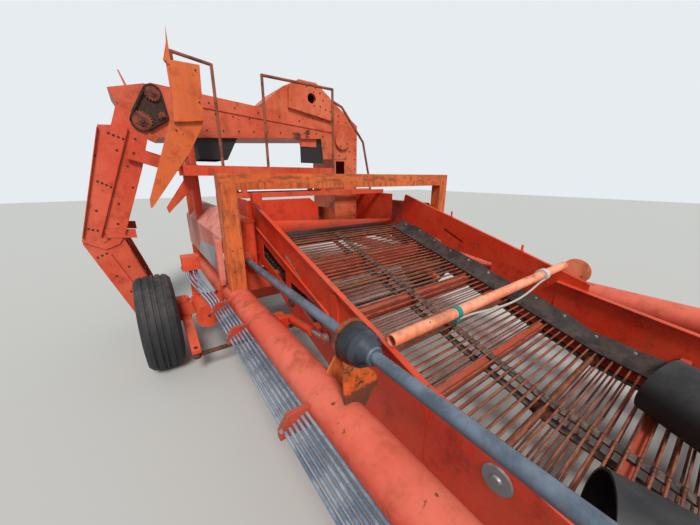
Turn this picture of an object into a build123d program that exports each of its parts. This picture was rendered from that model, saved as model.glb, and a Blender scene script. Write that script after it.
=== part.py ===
from build123d import *
import os
from math import atan2, cos, degrees, hypot, pi, radians, sin, tan

os.makedirs("parts", exist_ok=True)

# A trailed onion harvester, in millimetres. The origin is the middle of the hitch ring.
# X points to the machine's left-hand track, seen from the front, Y to its rear and Z up.

# Standing height and hitch
HITCH_HEIGHT = 450
GROUND = -HITCH_HEIGHT
SEAT = 0.3

# Main frame of two round tubes
TUBE_D = 193.7
TUBE_WALL = 8
TUBE_SPAN = 2450
TUBE_LEFT_X = -153
TUBE_H = 730
CROSS_Y = 1050
TUBE_REAR_Y = 5130
MID_X = TUBE_LEFT_X + TUBE_SPAN / 2

# Drawbar and ring
DRAWBAR_SIZE = 150
DRAWBAR_WALL = 8
DRAWBAR_FRONT_Y = 170
RING_R = 26
RING_OUTER_R = 58
RING_THICK = 40
TONGUE_W = 90

# Jack
JACK_Y = 620
JACK_X = 150
JACK_OUTER = 80
JACK_INNER = 60
JACK_WALL = 6
JACK_FOOT = 220
JACK_FOOT_THICK = 12

# Gantry over the web
POST = 120
POST_WALL = 5
GANTRY_Y = 4978
GANTRY_TOP_H = 1704

# Rear chassis
SIDE_TUBE_D = 150
SIDE_TUBE_WALL = 8
SIDE_TUBE_H = 634
SIDE_TUBE_REAR_Y = 6850
STUB_OUT = 233
STUB_FRONT_Y = 5000
STUB_REAR_Y = 5340
STUB_PLATE_Y = 5290
STUB_PLATE_T = 12
VALVE_POST = 46
VALVE_WIDE = 128
VALVE_TALL = 112
VALVE_DEEP = 110
VALVE_LOW_H = 948
VALVE_BACK = 300
CAP_D = 186
CAP_THICK = 12
BEAM = 150
BEAM_WALL = 8
BEAM_YS = (5205, 6700)

# Axle, knuckles and wheels
AXLE_Y = 5600
AXLE_BEAM = 120
WHEEL_D = 845
WHEEL_W = 290
RIM_D = 389
HUB_D = 150
KINGPIN_OUT = TUBE_SPAN / 2 + 350
WHEEL_OUT = KINGPIN_OUT + 207
KINGPIN_D = 44
ARM_PIN_Y = 5150
ARM_PIN_H = 262
TRACK_ROD_D = 38

# Lifting web
WEB_LEFT_X = TUBE_LEFT_X + 289
WEB_RIGHT_X = 2 * MID_X - WEB_LEFT_X
PLATE_T = 6
PLATE_BELOW = 175
PLATE_OVER_BEAM = 46
FLANGE_T = 6
REAR_SLOPE = 0.2917
REAR_PLATE_FRONT_Y = 3284
REAR_PLATE_REAR_Y = 5256
REAR_PLATE_FRONT_TOP_H = 893
REAR_FLANGE = 26
FRONT_SLOPE = 0.152
FRONT_PLATE_REAR_Y = 3489
FRONT_PLATE_REAR_TOP_H = 869
FRONT_FLANGE = 45
SHOE_Y = 1420
SHOE_H = 40
WEB_BEND_Y = 3130
WEB_BEND_H = 434
WEB_REAR_Y = 5440
WEB_REAR_H = 1104
WEB_FRONT_Y = 1560
WEB_FRONT_H = 205
ROD_D = 11
ROD_HALF = MID_X - WEB_LEFT_X - 31
ROD_PITCH = 50
BELT_OUT = ROD_HALF - 37
BELT_W = 60
BELT_T = 12
ROLLER_R = 48
ROLLER_YS = (2350, 3850, 4550)
SHAFT_D = 40
HEAD_SHAFT_X = WEB_LEFT_X - 76
MEMBER_YS = (2750, 3500, 4220, 4900)
RIB_BELOW = 217
RIB_FRONT_Y = 4000
RIB_OUT = 14
PLATE_SLOT = (4516, 1071, 270, 30)
SLOT_SLOPE = 0.43
REAR_HOLE_Y = 4660
PLATE_HOLES = (((4591, 930), (4060, 882), (4060, 680), (4560, 825)), ((REAR_HOLE_Y, 990), (5120, 1125), (5120, 995), (REAR_HOLE_Y, 862)))
MEMBER_W = 60
MEMBER_DEEP = 80
FLAP_INNER = ROD_HALF - 105
FLAP_FRONT_Y = 1700
FLAP_REAR_Y = 5300
FLAP_RISE = 120
FLAP_T = 8
PICKUP_BAR = 32

# Bar across the web
BAR_D = 60
BAR_Y = 3494
BAR_SHORT = 10
BAR_BEYOND = 50
DISC_R = 100
DISC_BACK = 89
DISC_DROP = 26

# Strap, knot and slack rope under that bar; the route's columns are x, ahead of the bar and below it
BAR_STRAP_X = (580, 612)
BAR_STRAP_T = 5
STRAP_LOBE_R = 12
KNOT_X = (1640, 1690)
ROPE_D = 14
ROPE_ROUTE = (
    (612, 10, 40), (690, 10, 40), (830, 12, 58), (980, 15, 79), (1130, 18, 92), (1280, 20, 93), (1410, 22, 77),
    (1510, 24, 51), (1585, 27, 27), (1640, 27, 27),
)

# Drive line
PTO_H = 969
PTO_GUARD_D = 57
PTO_GUARD_BORE = 47
PTO_STUB_D = 34.9
PTO_SHAFT_D = 40
PTO_STUB = 120
PTO_REAR_Y = 5150
PTO_FRONT_Y = 1000
BELL_Y = 3549
BELL_D = 172
BELL_LONG = 90
BRACKET_BACK = 96
BRACKET_T = 12
HOUSING_X = WEB_LEFT_X - 122
HOUSING_W = 188
HOUSING_LONG = 260
HOUSING_TOP_H = 1300
CONE_LONG = 45

# Hydraulic pipes
PIPE_D = 15
PIPE_COUNT = 6
PIPE_PITCH = 19
PIPE_STEP = 9
PIPE_CLEAR = 16
PIPE_H = 745
PIPE_FRONT_Y = 900
PIPE_REAR_Y = 4960
CLAMP_YS = (1500, 2550, 3578, 4417, 4860)
CLAMP_W = 30

# Rear body
COVER_OUT = TUBE_SPAN / 2 + 67
COVER_FRONT_Y = 5052
COVER_REAR_Y = 6920
COVER_FOLD_H = 1220
COVER_TOP_H = 1375
COVER_IN = 140
COVER_LIP = 60
COVER_POST = 40
COVER_POST_H = (TUBE_H + TUBE_D / 2 + 8, 1205)
SHEET = 5
RAIL_BOX = 80
HOPPER_FRONT_Y = 5485
HOPPER_FOOT = 38
HEAD_SHEET_Y = (5492, 5690)
HEAD_SHEET_H = (1120, 1242)
HEAD_SHEET_FAR = (5532, 1142)
HEAD_BOARD = ((130, 1445), (905, 1445), (1015, 1365), (1015, 1190), (130, 1238))
HEAD_POST_X = (218, 310)
HEAD_POST_Y = 5600
HEAD_POST_TOP_H = 1524
HOPPER_REAR_Y = 6775
HOPPER_TOP_H = 1468

# Conveyor belts of the rear body and the upper frame
LOOP_T = 10
LOOP_DEEP = 130
TRANSFER_Y = (5505, 6080)
TRANSFER_TOP_H = 1060
LOW_BELT_X = (WEB_LEFT_X + 65.3, 1460)
LOW_BELT_TOP_H = 1010

# Platform
DECK_H = 1775
DECK_DEEP = 90
DECK_Y = (5700, 6060)
DECK_X = (-321, 1220)
DECK_SHEET = 5
DECK_POST = 50
DECK_POST_X = (190, 1100)
RAIL_D = 27
RAIL_TOP_H = 2600
RAIL_Y = 5714
RAIL_X = (457, 1250)
END_RAIL = ((1262, 2480), (1375, 2440), (1600, 2190), (1690, 2090), (1790, 1700), (1822, 1570))
LEFT_RAIL_X = 16

# Panel and pointed arm at the platform's left end
PANEL_Y = 5694
PANEL_T = 6
PANEL_POINTS = ((-300, 2572), (-82, 2576), (-103, 2146), (-335, 2118))
PANEL_FLANGE = 30
ARM_POINTS = ((-369, 2118), (-110, 2146), (-126, 2094), (-250, 1880), (-595, 1424), (-612, 1419), (-608, 1490))
PANEL_POST = 25
SPIKE = ((-326, 2540), (-292, 2540), (-292, 2802), (-305, 2690), (-345, 2560))
REAR_ARM = ((-470, 1375), (-456, 1317), (-190, 1575), (-140, 1622), (-140, 1710), (-214, 1710), (-262, 1668))

# Upper cross conveyor, its legs, the elevator tower and its hood
UPPER_Y = (6150, 6750)
UPPER_X = (-430, 1925)
UPPER_TOP_H = (2490, 2318)
UPPER_LOW_H = (2030, 2175)
UPPER_RAIL_H = (2365, 2200)
UPPER_RAIL = 20
UPPER_LIP = 40
HANG_PLATE = ((1039, 2177), (1275, 2172), (1270, 2036), (1052, 2036), (1039, 2052))
CHEEK_X = -600
BOOM_HOPPER = ((-746, 2407), (-480, 2477), (-300, 2477), (-300, 2330), (-480, 2300), (-700, 2300))
PLATE = 6
TOWER_X = 1550
TOWER_WINDOW = (1570, 1712, 1520, 1880)
TOWER_PANEL = ((1336, 2180), (1728, 2171), (1727, 1914), (1372, 1896))
TOWER_DISC = (1655, 2141)
TOWER_DISC_R = 112
TOWER_DISC_T = 40
HOOD_POINTS = ((640, 2480), (860, 2665), (1040, 2752), (1290, 2750), (1925, 2345))
HOOD_BOX = ((904, 2448), (918, 2674), (1040, 2757), (1275, 2754), (1474, 2619), (1496, 2360))
HOOD_BOX_DEEP = 40
HOOD_HOLE = (1208, 2582)
HOOD_HOLE_R = 56
LEG_X = (-214, -140)
LEG_Y = (6160, 6665)
CHUTE_TOP_X = (-119, 295)
CHUTE_LOW_X = (-101, 171)
CHUTE_LOW_H = 1850
CURTAIN_X = (1060, 1365)
CURTAIN_LOW_H = 1845

# Discharge boom, folded down behind the left wheel
BOOM_PIN = (-543, 2160)
BOOM_PIN_D = 50
BOOM_CLEAR = 6
ELBOW_PIN = (-1010, 1115)
BOOM_UPPER = (
    (-865, 2102), (-773, 2108), (-707, 2282), (-612, 2231), (-520, 2215), (-480, 2170), (-509, 2056),
    (-606, 1754), (-846, 1138), (-900, 1060), (-1010, 1020), (-1162, 1109),
)
BOOM_LOWER = (
    (-1150, 1150), (-1160, 1085), (-905, 330), (-640, 330), (-747, 728), (-851, 1085), (-880, 1170), (-1010, 1215),
)
UPPER_RIBS = (((-662, 2085), (-1024, 1145)), ((-616, 1742), (-846, 1155)), ((-872, 2080), (-1150, 1150)))
HINGE_PLATE = ((-985, 1215), (-757, 1190), (-757, 1105), (-985, 1130))
HOPPER_PEG = ((-650, 2552), (-640, 2554), (-598, 2430), (-616, 2424))
LOWER_RIBS = (((-985, 970), (-760, 340)), ((-840, 1000), (-666, 400)))
RIB = 28
UPPER_LOOP = ((-610, 2050), (-928, 1298))
LOWER_LOOP = ((-1010, 1115), (-790, 430))
BOOM_LOOP_DEEP = 140
FLIGHT_PITCH = 150
FLIGHT_TALL = 35
SPROCKETS = ((-424, 2403, 90), (-543, 2160, 118))

# Strut between boom and platform: a channel that slides over a flat tube
STRUT_LUG = (-300, 1757)
STRUT_EYE = (-650, 1875)
STRUT_Y = 6105
STRUT_WIDE = 118
STRUT_DEEP = 46
STRUT_LONG = 329
STRUT_TUBE_LONG = 330

# Lift rams of the web
LIFT_OUT = TUBE_SPAN / 2 - 173
LIFT_BARREL_PIN = (4367, 755)
LIFT_EYE = (3900, 833)
LIFT_BARREL_D = 60
LIFT_BARREL_LONG = 330
LIFT_ROD_D = 30
LIFT_PIN_D = 24
LIFT_EYE_PLAY = 1.0
LUG_Y = (3925, 4000)
LUG_H = (500, 1050)

# Rubber deflectors over the web's front end
DRUM_R = 175
DRUM_T = 10
DRUM_LONG = 620
DRUM_TURN = 19.4
DRUM_CLEAR = 8
DRUM_SPOTS = ((392, 2765), (1521, 2769))
STRAP_W = 50
STRAP_T = 8
STRAP_BACK = (60, 520)

LEFT, RIGHT = -1, 1


def height(h):
    """The Z of a point h above the ground."""
    return GROUND + h


def facing_side(x):
    """A sketch plane across the machine at x: local x is Y and local y is Z."""
    return Plane.YZ.offset(x)


def facing_front(y):
    """A sketch plane at y: local x is X and local y is Z, and it extrudes towards the front."""
    return Plane.XZ.offset(-y)


def mirrored_x(x):
    """The place opposite x about the machine's middle."""
    return 2 * MID_X - x


def front_points(points):
    """Points given as X and height above the ground, for a sketch seen from the front."""
    return [(x, height(h)) for x, h in points]


def polygon(points):
    Polygon(*points, align=None)


def save(piece, name):
    piece.part.label = name
    export_step(piece.part, f"parts/{name}.step")


def round_bar(a, b, diameter):
    """A round bar from point a to point b, made outside any piece."""
    a, b = Vector(*a), Vector(*b)
    run = b - a
    return Solid.make_cylinder(diameter / 2, run.length, Plane(origin=a, z_dir=run))


# Main tubes, coped to the round tube across the front
for name, x in (("main_tube_left", TUBE_LEFT_X), ("main_tube_right", TUBE_LEFT_X + TUBE_SPAN)):
    with BuildPart() as tube:
        with BuildSketch(facing_front(CROSS_Y)):
            with Locations((x, height(TUBE_H))):
                Circle(TUBE_D / 2)
                Circle(TUBE_D / 2 - TUBE_WALL, mode=Mode.SUBTRACT)
        extrude(amount=CROSS_Y - TUBE_REAR_Y)
        with BuildSketch(facing_side(x - TUBE_D)):
            with Locations((CROSS_Y, height(TUBE_H))):
                Circle(TUBE_D / 2 + SEAT)
        extrude(amount=2 * TUBE_D, mode=Mode.SUBTRACT)
    save(tube, name)

with BuildPart() as front_cross_tube:
    with BuildSketch(facing_side(TUBE_LEFT_X - TUBE_D / 2)):
        with Locations((CROSS_Y, height(TUBE_H))):
            Circle(TUBE_D / 2)
    extrude(amount=TUBE_SPAN + TUBE_D)
save(front_cross_tube, "front_cross_tube")

# Drawbar, sloping down from the cross tube to the ring
drawbar_low = Vector(0, DRAWBAR_FRONT_Y, 0)
drawbar_high = Vector(0, CROSS_Y, height(TUBE_H))
drawbar_run = drawbar_high - drawbar_low
with BuildPart() as drawbar:
    with BuildSketch(Plane(origin=drawbar_low, x_dir=(1, 0, 0), z_dir=drawbar_run)):
        RectangleRounded(DRAWBAR_SIZE, DRAWBAR_SIZE, 14)
        RectangleRounded(DRAWBAR_SIZE - 2 * DRAWBAR_WALL, DRAWBAR_SIZE - 2 * DRAWBAR_WALL, 7, mode=Mode.SUBTRACT)
    extrude(amount=drawbar_run.length)
    with BuildSketch(facing_side(-DRAWBAR_SIZE)):
        with Locations((CROSS_Y, height(TUBE_H))):
            Circle(TUBE_D / 2 + SEAT)
        with Locations((CROSS_Y + TUBE_D, height(TUBE_H))):
            Rectangle(2 * TUBE_D, 3 * TUBE_D)
        with Locations((DRAWBAR_FRONT_Y - DRAWBAR_SIZE, 0)):
            Rectangle(2 * DRAWBAR_SIZE, 4 * DRAWBAR_SIZE)
    extrude(amount=2 * DRAWBAR_SIZE, mode=Mode.SUBTRACT)
save(drawbar, "drawbar")

with BuildPart() as hitch_eye:
    with BuildSketch(Plane.XY.offset(-RING_THICK / 2)):
        Circle(RING_OUTER_R)
        with Locations((0, (DRAWBAR_FRONT_Y - DRAWBAR_WALL) / 2)):
            Rectangle(TONGUE_W, DRAWBAR_FRONT_Y - DRAWBAR_WALL)
    extrude(amount=RING_THICK)
    with BuildSketch(facing_front(DRAWBAR_FRONT_Y - DRAWBAR_WALL)):
        Rectangle(DRAWBAR_SIZE, DRAWBAR_SIZE)
    extrude(amount=-DRAWBAR_WALL)
    Hole(RING_R)
save(hitch_eye, "hitch_eye")

# Jack: an outer tube on the drawbar's side and a leg that slides in it
jack_slope_h = drawbar_low.Z + drawbar_run.Z * (JACK_Y - drawbar_low.Y) / drawbar_run.Y
jack_top = jack_slope_h + 190
jack_bottom = jack_slope_h - 150
with BuildPart() as jack_outer:
    with BuildSketch(Plane.XY.offset(jack_bottom)):
        with Locations((JACK_X, JACK_Y)):
            Rectangle(JACK_OUTER, JACK_OUTER)
            Rectangle(JACK_INNER + 2 * SEAT, JACK_INNER + 2 * SEAT, mode=Mode.SUBTRACT)
    extrude(amount=jack_top - jack_bottom)
    with BuildSketch(Plane.XY.offset(jack_slope_h - 45)):
        with Locations(((DRAWBAR_SIZE / 2 + JACK_X - JACK_OUTER / 2) / 2, JACK_Y)):
            Rectangle(JACK_X - JACK_OUTER / 2 - DRAWBAR_SIZE / 2, JACK_OUTER)
    extrude(amount=90)
save(jack_outer, "jack_outer")

with BuildPart() as jack_leg:
    with BuildSketch(Plane.XY.offset(GROUND)):
        with Locations((JACK_X, JACK_Y)):
            Rectangle(JACK_FOOT, JACK_FOOT)
    extrude(amount=JACK_FOOT_THICK)
    with BuildSketch(Plane.XY.offset(GROUND + JACK_FOOT_THICK)):
        with Locations((JACK_X, JACK_Y)):
            Rectangle(JACK_INNER, JACK_INNER)
            Rectangle(JACK_INNER - 2 * JACK_WALL, JACK_INNER - 2 * JACK_WALL, mode=Mode.SUBTRACT)
    extrude(amount=jack_top - 30 - GROUND - JACK_FOOT_THICK)
save(jack_leg, "jack_leg")

# Gantry of square tube, mitred at its corners and coped to the round tubes
with BuildPart() as gantry:
    for inset, wall_y in ((0, POST / 2), (POST_WALL, POST / 2 - POST_WALL)):
        with BuildSketch(facing_front(GANTRY_Y - wall_y)):
            top = height(GANTRY_TOP_H) - inset
            foot = height(TUBE_H)
            outer = TUBE_SPAN / 2 + POST / 2 - inset
            inner = TUBE_SPAN / 2 - POST / 2 + inset
            with Locations((MID_X, 0)):
                polygon(
                    [
                        (-outer, foot), (-outer, top), (outer, top), (outer, foot),
                        (inner, foot), (inner, top - POST + 2 * inset), (-inner, top - POST + 2 * inset), (-inner, foot),
                    ]
                )
        extrude(amount=-2 * wall_y, mode=Mode.SUBTRACT if inset else Mode.ADD)
    for x in (TUBE_LEFT_X, TUBE_LEFT_X + TUBE_SPAN):
        with BuildSketch(facing_front(GANTRY_Y - POST)):
            with Locations((x, height(TUBE_H))):
                Circle(TUBE_D / 2 + SEAT)
        extrude(amount=-2 * POST, mode=Mode.SUBTRACT)
save(gantry, "gantry")

# Rear chassis: round tubes in line with the main ones, short capped stubs outside them, beams on top
stub_z = height(SIDE_TUBE_H)
with BuildPart() as side_tubes:
    for side in (LEFT, RIGHT):
        tube_x = MID_X + side * TUBE_SPAN / 2
        stub_x = tube_x + side * STUB_OUT
        for x, y0, y1 in ((tube_x, TUBE_REAR_Y + SEAT, SIDE_TUBE_REAR_Y), (stub_x, STUB_FRONT_Y, STUB_REAR_Y)):
            with BuildSketch(facing_front(y0)):
                with Locations((x, stub_z)):
                    Circle(SIDE_TUBE_D / 2)
                    Circle(SIDE_TUBE_D / 2 - SIDE_TUBE_WALL, mode=Mode.SUBTRACT)
            extrude(amount=y0 - y1)
        with BuildSketch(facing_front(STUB_PLATE_Y)):
            with Locations(((tube_x + stub_x) / 2, stub_z)):
                Rectangle(STUB_OUT + SIDE_TUBE_D, SIDE_TUBE_D - 2)
            with Locations((tube_x, stub_z), (stub_x, stub_z)):
                Circle(SIDE_TUBE_D / 2 - SIDE_TUBE_WALL, mode=Mode.SUBTRACT)
        extrude(amount=-STUB_PLATE_T)
        with BuildSketch(facing_front(STUB_FRONT_Y)):
            with Locations((stub_x, stub_z)):
                Circle(CAP_D / 2)
                with PolarLocations(CAP_D / 2 - 12, 6):
                    Circle(7, mode=Mode.SUBTRACT)
        extrude(amount=CAP_THICK)
    valve_x = MID_X - TUBE_SPAN / 2 - STUB_OUT - SIDE_TUBE_D / 4
    with BuildSketch(Plane.XY.offset(stub_z + SIDE_TUBE_D / 2 - SIDE_TUBE_WALL - 4)):
        with Locations((valve_x, VALVE_BACK + STUB_FRONT_Y)):
            Rectangle(VALVE_POST, VALVE_POST)
    extrude(amount=VALVE_LOW_H - SIDE_TUBE_H - SIDE_TUBE_D / 2 + SIDE_TUBE_WALL + 4)
    with BuildSketch(Plane.XY.offset(height(VALVE_LOW_H))):
        with Locations((valve_x, VALVE_BACK + STUB_FRONT_Y)):
            Rectangle(VALVE_WIDE, VALVE_DEEP)
    extrude(amount=VALVE_TALL)
    with BuildSketch(Plane.XY.offset(height(VALVE_LOW_H))):
        with Locations((valve_x, VALVE_BACK + STUB_FRONT_Y)):
            Rectangle(VALVE_WIDE + 16, VALVE_DEEP + 16)
    extrude(amount=10)
save(side_tubes, "side_tubes")

beam_low = SIDE_TUBE_H + SIDE_TUBE_D / 2 + SEAT
beam_half = COVER_OUT + 8
with BuildPart() as cross_beams:
    for y in BEAM_YS:
        with BuildSketch(facing_side(MID_X - beam_half)):
            with Locations((y, height(beam_low + BEAM / 2))):
                Rectangle(BEAM, BEAM)
                Rectangle(BEAM - 2 * BEAM_WALL, BEAM - 2 * BEAM_WALL, mode=Mode.SUBTRACT)
        extrude(amount=2 * beam_half)
save(cross_beams, "cross_beams")

# Axle beam under the side tubes, with an upright kingpin at each end
axle_h = SIDE_TUBE_H - SIDE_TUBE_D / 2 - SEAT - AXLE_BEAM / 2
with BuildPart() as axle_beam:
    with BuildSketch(facing_side(MID_X - KINGPIN_OUT)):
        with Locations((AXLE_Y, height(axle_h))):
            Rectangle(AXLE_BEAM, AXLE_BEAM)
    extrude(amount=2 * KINGPIN_OUT)
    with BuildSketch(Plane.XY.offset(height(axle_h - AXLE_BEAM / 2))):
        with Locations((MID_X - KINGPIN_OUT, AXLE_Y), (MID_X + KINGPIN_OUT, AXLE_Y)):
            Circle(AXLE_BEAM / 2)
    extrude(amount=AXLE_BEAM)
    with BuildSketch(Plane.XY.offset(height(axle_h - AXLE_BEAM / 2 - 60))):
        with Locations((MID_X - KINGPIN_OUT, AXLE_Y), (MID_X + KINGPIN_OUT, AXLE_Y)):
            Circle(KINGPIN_D / 2)
    extrude(amount=AXLE_BEAM + 120)
save(axle_beam, "axle_beam")

# Knuckles: a fork round the kingpin, the stub axle and an arm forward and down to the track rod
for name, side in (("knuckle_left", LEFT), ("knuckle_right", RIGHT)):
    x = MID_X + side * KINGPIN_OUT
    fork_x = x + side * (AXLE_BEAM / 2 + 6)
    stub_x = MID_X + side * (WHEEL_OUT - WHEEL_W / 2 + 60)
    with BuildPart() as knuckle:
        for low, tall in ((axle_h + AXLE_BEAM / 2 + 5, 40), (axle_h - AXLE_BEAM / 2 - 45, 40)):
            with BuildSketch(Plane.XY.offset(height(low))):
                with Locations((x, AXLE_Y)):
                    Circle(48)
                with Locations(((x + fork_x + side * 20) / 2, AXLE_Y)):
                    Rectangle(abs(fork_x + side * 20 - x), 90)
                with Locations((x, AXLE_Y)):
                    Circle(KINGPIN_D / 2 + 1, mode=Mode.SUBTRACT)
            extrude(amount=tall)
        with BuildSketch(Plane.XY.offset(height(axle_h - AXLE_BEAM / 2 - 45))):
            with Locations((fork_x + side * 15, AXLE_Y)):
                Rectangle(30, 90)
        extrude(amount=AXLE_BEAM + 90)
        with BuildSketch(facing_side(fork_x)):
            with Locations((AXLE_Y, height(WHEEL_D / 2))):
                Circle(34)
        extrude(amount=side * (abs(stub_x - fork_x)))
        with BuildSketch(facing_side(x + side * 36)):
            with BuildLine():
                Polyline(
                    (AXLE_Y - 30, height(axle_h - AXLE_BEAM / 2 - 5)), (AXLE_Y - 30, height(axle_h - AXLE_BEAM / 2 - 45)),
                    (ARM_PIN_Y + 36, height(ARM_PIN_H)), (ARM_PIN_Y - 34, height(ARM_PIN_H)),
                    (ARM_PIN_Y - 34, height(ARM_PIN_H + 28)), (ARM_PIN_Y + 46, height(ARM_PIN_H + 60)),
                    (AXLE_Y - 150, height(axle_h - AXLE_BEAM / 2 - 5)), close=True,
                )
            make_face()
        extrude(amount=-side * 72)
        with BuildSketch(Plane.XY.offset(height(ARM_PIN_H - 10))):
            with Locations((x, ARM_PIN_Y)):
                Circle(14.6)
        extrude(amount=80, mode=Mode.SUBTRACT)
    save(knuckle, name)

with BuildPart() as track_rod:
    with BuildSketch(facing_side(MID_X - KINGPIN_OUT + 30)):
        with Locations((ARM_PIN_Y, height(ARM_PIN_H - 30))):
            Circle(TRACK_ROD_D / 2)
    extrude(amount=2 * KINGPIN_OUT - 60)
    for side in (LEFT, RIGHT):
        with BuildSketch(Plane.XY.offset(height(ARM_PIN_H - 52))):
            with Locations((MID_X + side * KINGPIN_OUT, ARM_PIN_Y)):
                Circle(32)
        extrude(amount=46)
        with BuildSketch(Plane.XY.offset(height(ARM_PIN_H - 6))):
            with Locations((MID_X + side * KINGPIN_OUT, ARM_PIN_Y)):
                Circle(14)
        extrude(amount=50)
save(track_rod, "track_rod")

# Wheels: a dished rim on its hub, and a ribbed implement tyre
for name, side in (("left", LEFT), ("right", RIGHT)):
    centre_x = MID_X + side * WHEEL_OUT
    wheel_plane = Plane(origin=(centre_x, AXLE_Y, height(WHEEL_D / 2)), x_dir=(0, 1, 0), z_dir=(side, 0, 0))
    half = WHEEL_W / 2
    rim_half = 120
    with BuildPart() as rim:
        with BuildSketch(Plane(origin=wheel_plane.origin, x_dir=(side, 0, 0), z_dir=(0, -1, 0))):
            with BuildLine():
                Polyline(
                    (-rim_half, RIM_D / 2 + 14), (-rim_half + 8, RIM_D / 2 + 14), (-rim_half + 16, RIM_D / 2 - 4),
                    (-60, RIM_D / 2 - 8), (-50, RIM_D / 2 - 30), (50, RIM_D / 2 - 30), (60, RIM_D / 2 - 8),
                    (rim_half - 16, RIM_D / 2 - 4), (rim_half - 8, RIM_D / 2 + 14), (rim_half, RIM_D / 2 + 14),
                    (rim_half, RIM_D / 2 + 8), (rim_half - 12, RIM_D / 2 - 12), (64, RIM_D / 2 - 16),
                    (54, RIM_D / 2 - 38), (30, RIM_D / 2 - 38), (16, 90), (16, 0), (-20, 0), (-20, HUB_D / 2),
                    (4, HUB_D / 2), (6, 100), (18, RIM_D / 2 - 38), (-54, RIM_D / 2 - 38), (-64, RIM_D / 2 - 16),
                    (-rim_half + 12, RIM_D / 2 - 12), (-rim_half, RIM_D / 2 + 8), close=True,
                )
            make_face()
        revolve(axis=Axis(wheel_plane.origin, (side, 0, 0)))
        with BuildSketch(Plane(origin=wheel_plane.origin, x_dir=(0, 1, 0), z_dir=(side, 0, 0)).offset(16)):
            Circle(HUB_D / 2)
        extrude(amount=50)
        with BuildSketch(Plane(origin=wheel_plane.origin, x_dir=(0, 1, 0), z_dir=(side, 0, 0)).offset(66)):
            Circle(44)
        extrude(amount=26, taper=10)
        with BuildSketch(Plane(origin=wheel_plane.origin, x_dir=(0, 1, 0), z_dir=(side, 0, 0)).offset(-20)):
            Circle(HUB_D / 2)
        extrude(amount=-50)
        with BuildSketch(Plane(origin=wheel_plane.origin, x_dir=(0, 1, 0), z_dir=(side, 0, 0)).offset(-80)):
            Circle(34.6)
        extrude(amount=70, mode=Mode.SUBTRACT)
    save(rim, f"rim_{name}")

    with BuildPart() as tyre:
        with BuildSketch(Plane(origin=wheel_plane.origin, x_dir=(side, 0, 0), z_dir=(0, -1, 0))):
            tread = WHEEL_D / 2
            with BuildLine():
                Polyline(
                    (-rim_half + 1, RIM_D / 2 + 14 + SEAT), (-half + 4, RIM_D / 2 + 60), (-half, tread - 110),
                    (-half + 8, tread - 42), (-half + 34, tread - 12),
                    (-80, tread - 3), (-78, tread - 14), (-62, tread - 14), (-60, tread - 1.5),
                    (-28, tread), (-26, tread - 13), (-10, tread - 13), (-8, tread),
                    (8, tread), (10, tread - 13), (26, tread - 13), (28, tread),
                    (60, tread - 1.5), (62, tread - 14), (78, tread - 14), (80, tread - 3),
                    (half - 34, tread - 12), (half - 8, tread - 42), (half, tread - 110),
                    (half - 4, RIM_D / 2 + 60), (rim_half - 1, RIM_D / 2 + 14 + SEAT), close=True,
                )
            make_face()
        revolve(axis=Axis(wheel_plane.origin, (side, 0, 0)))
    save(tyre, f"tyre_{name}")


# Lifting web: the line that its rods run along, seen from the side as (Y, Z)
WEB_DEPTH = 2 * (ROLLER_R + BELT_T)
rear_dir = Vector(WEB_REAR_Y - WEB_BEND_Y, WEB_REAR_H - WEB_BEND_H).normalized()
front_dir = Vector(WEB_BEND_Y - WEB_FRONT_Y, WEB_BEND_H - WEB_FRONT_H).normalized()
rear_down = Vector(rear_dir.Y, -rear_dir.X)
front_down = Vector(front_dir.Y, -front_dir.X)
bend_down = (rear_down + front_down).normalized()
bend_down = bend_down * (1 / bend_down.dot(rear_down))
belt_front = Vector(WEB_FRONT_Y, height(WEB_FRONT_H - ROD_D))
belt_bend = Vector(WEB_BEND_Y, height(WEB_BEND_H - ROD_D))
belt_rear = Vector(WEB_REAR_Y, height(WEB_REAR_H - ROD_D))
head = belt_rear + (rear_down - rear_dir) * (WEB_DEPTH / 2)
nose = belt_front + (front_down + front_dir) * (WEB_DEPTH / 2)


def web_top(y):
    """The height of the rods' upper side above the ground at y."""
    run = rear_dir if y >= WEB_BEND_Y else front_dir
    return WEB_BEND_H + (y - WEB_BEND_Y) * run.Y / run.X


def rear_plate_top(y):
    return REAR_PLATE_FRONT_TOP_H + (y - REAR_PLATE_FRONT_Y) * REAR_SLOPE


def front_plate_top(y):
    return FRONT_PLATE_REAR_TOP_H + (y - FRONT_PLATE_REAR_Y) * FRONT_SLOPE


def drum_plane(side, spot):
    """The rear end of a guide drum: it lies forwards along the web and turned in towards its middle."""
    x, y = spot
    lie = Vector(-side * sin(radians(DRUM_TURN)), -cos(radians(DRUM_TURN)), -front_dir.Y * cos(radians(DRUM_TURN)))
    lift = (DRUM_R + DRUM_CLEAR) / front_dir.X
    return Plane(origin=(x, y, height(web_top(y) + lift)), x_dir=(0, 0, 1), z_dir=lie)


# Three endless belts carry the rods
with BuildPart() as web_belts:
    for x in (MID_X - BELT_OUT, MID_X, MID_X + BELT_OUT):
        with BuildSketch(facing_side(x - BELT_W / 2)):
            with BuildLine() as belt_line:
                FilletPolyline(
                    belt_front, belt_bend, belt_rear, belt_rear + rear_down * WEB_DEPTH,
                    belt_bend + bend_down * WEB_DEPTH, belt_front + front_down * WEB_DEPTH,
                    radius=WEB_DEPTH / 2 - 1, close=True,
                )
            make_face()
            offset(amount=-BELT_T, mode=Mode.SUBTRACT)
        extrude(amount=BELT_W)
save(web_belts, "web_belts")

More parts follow.
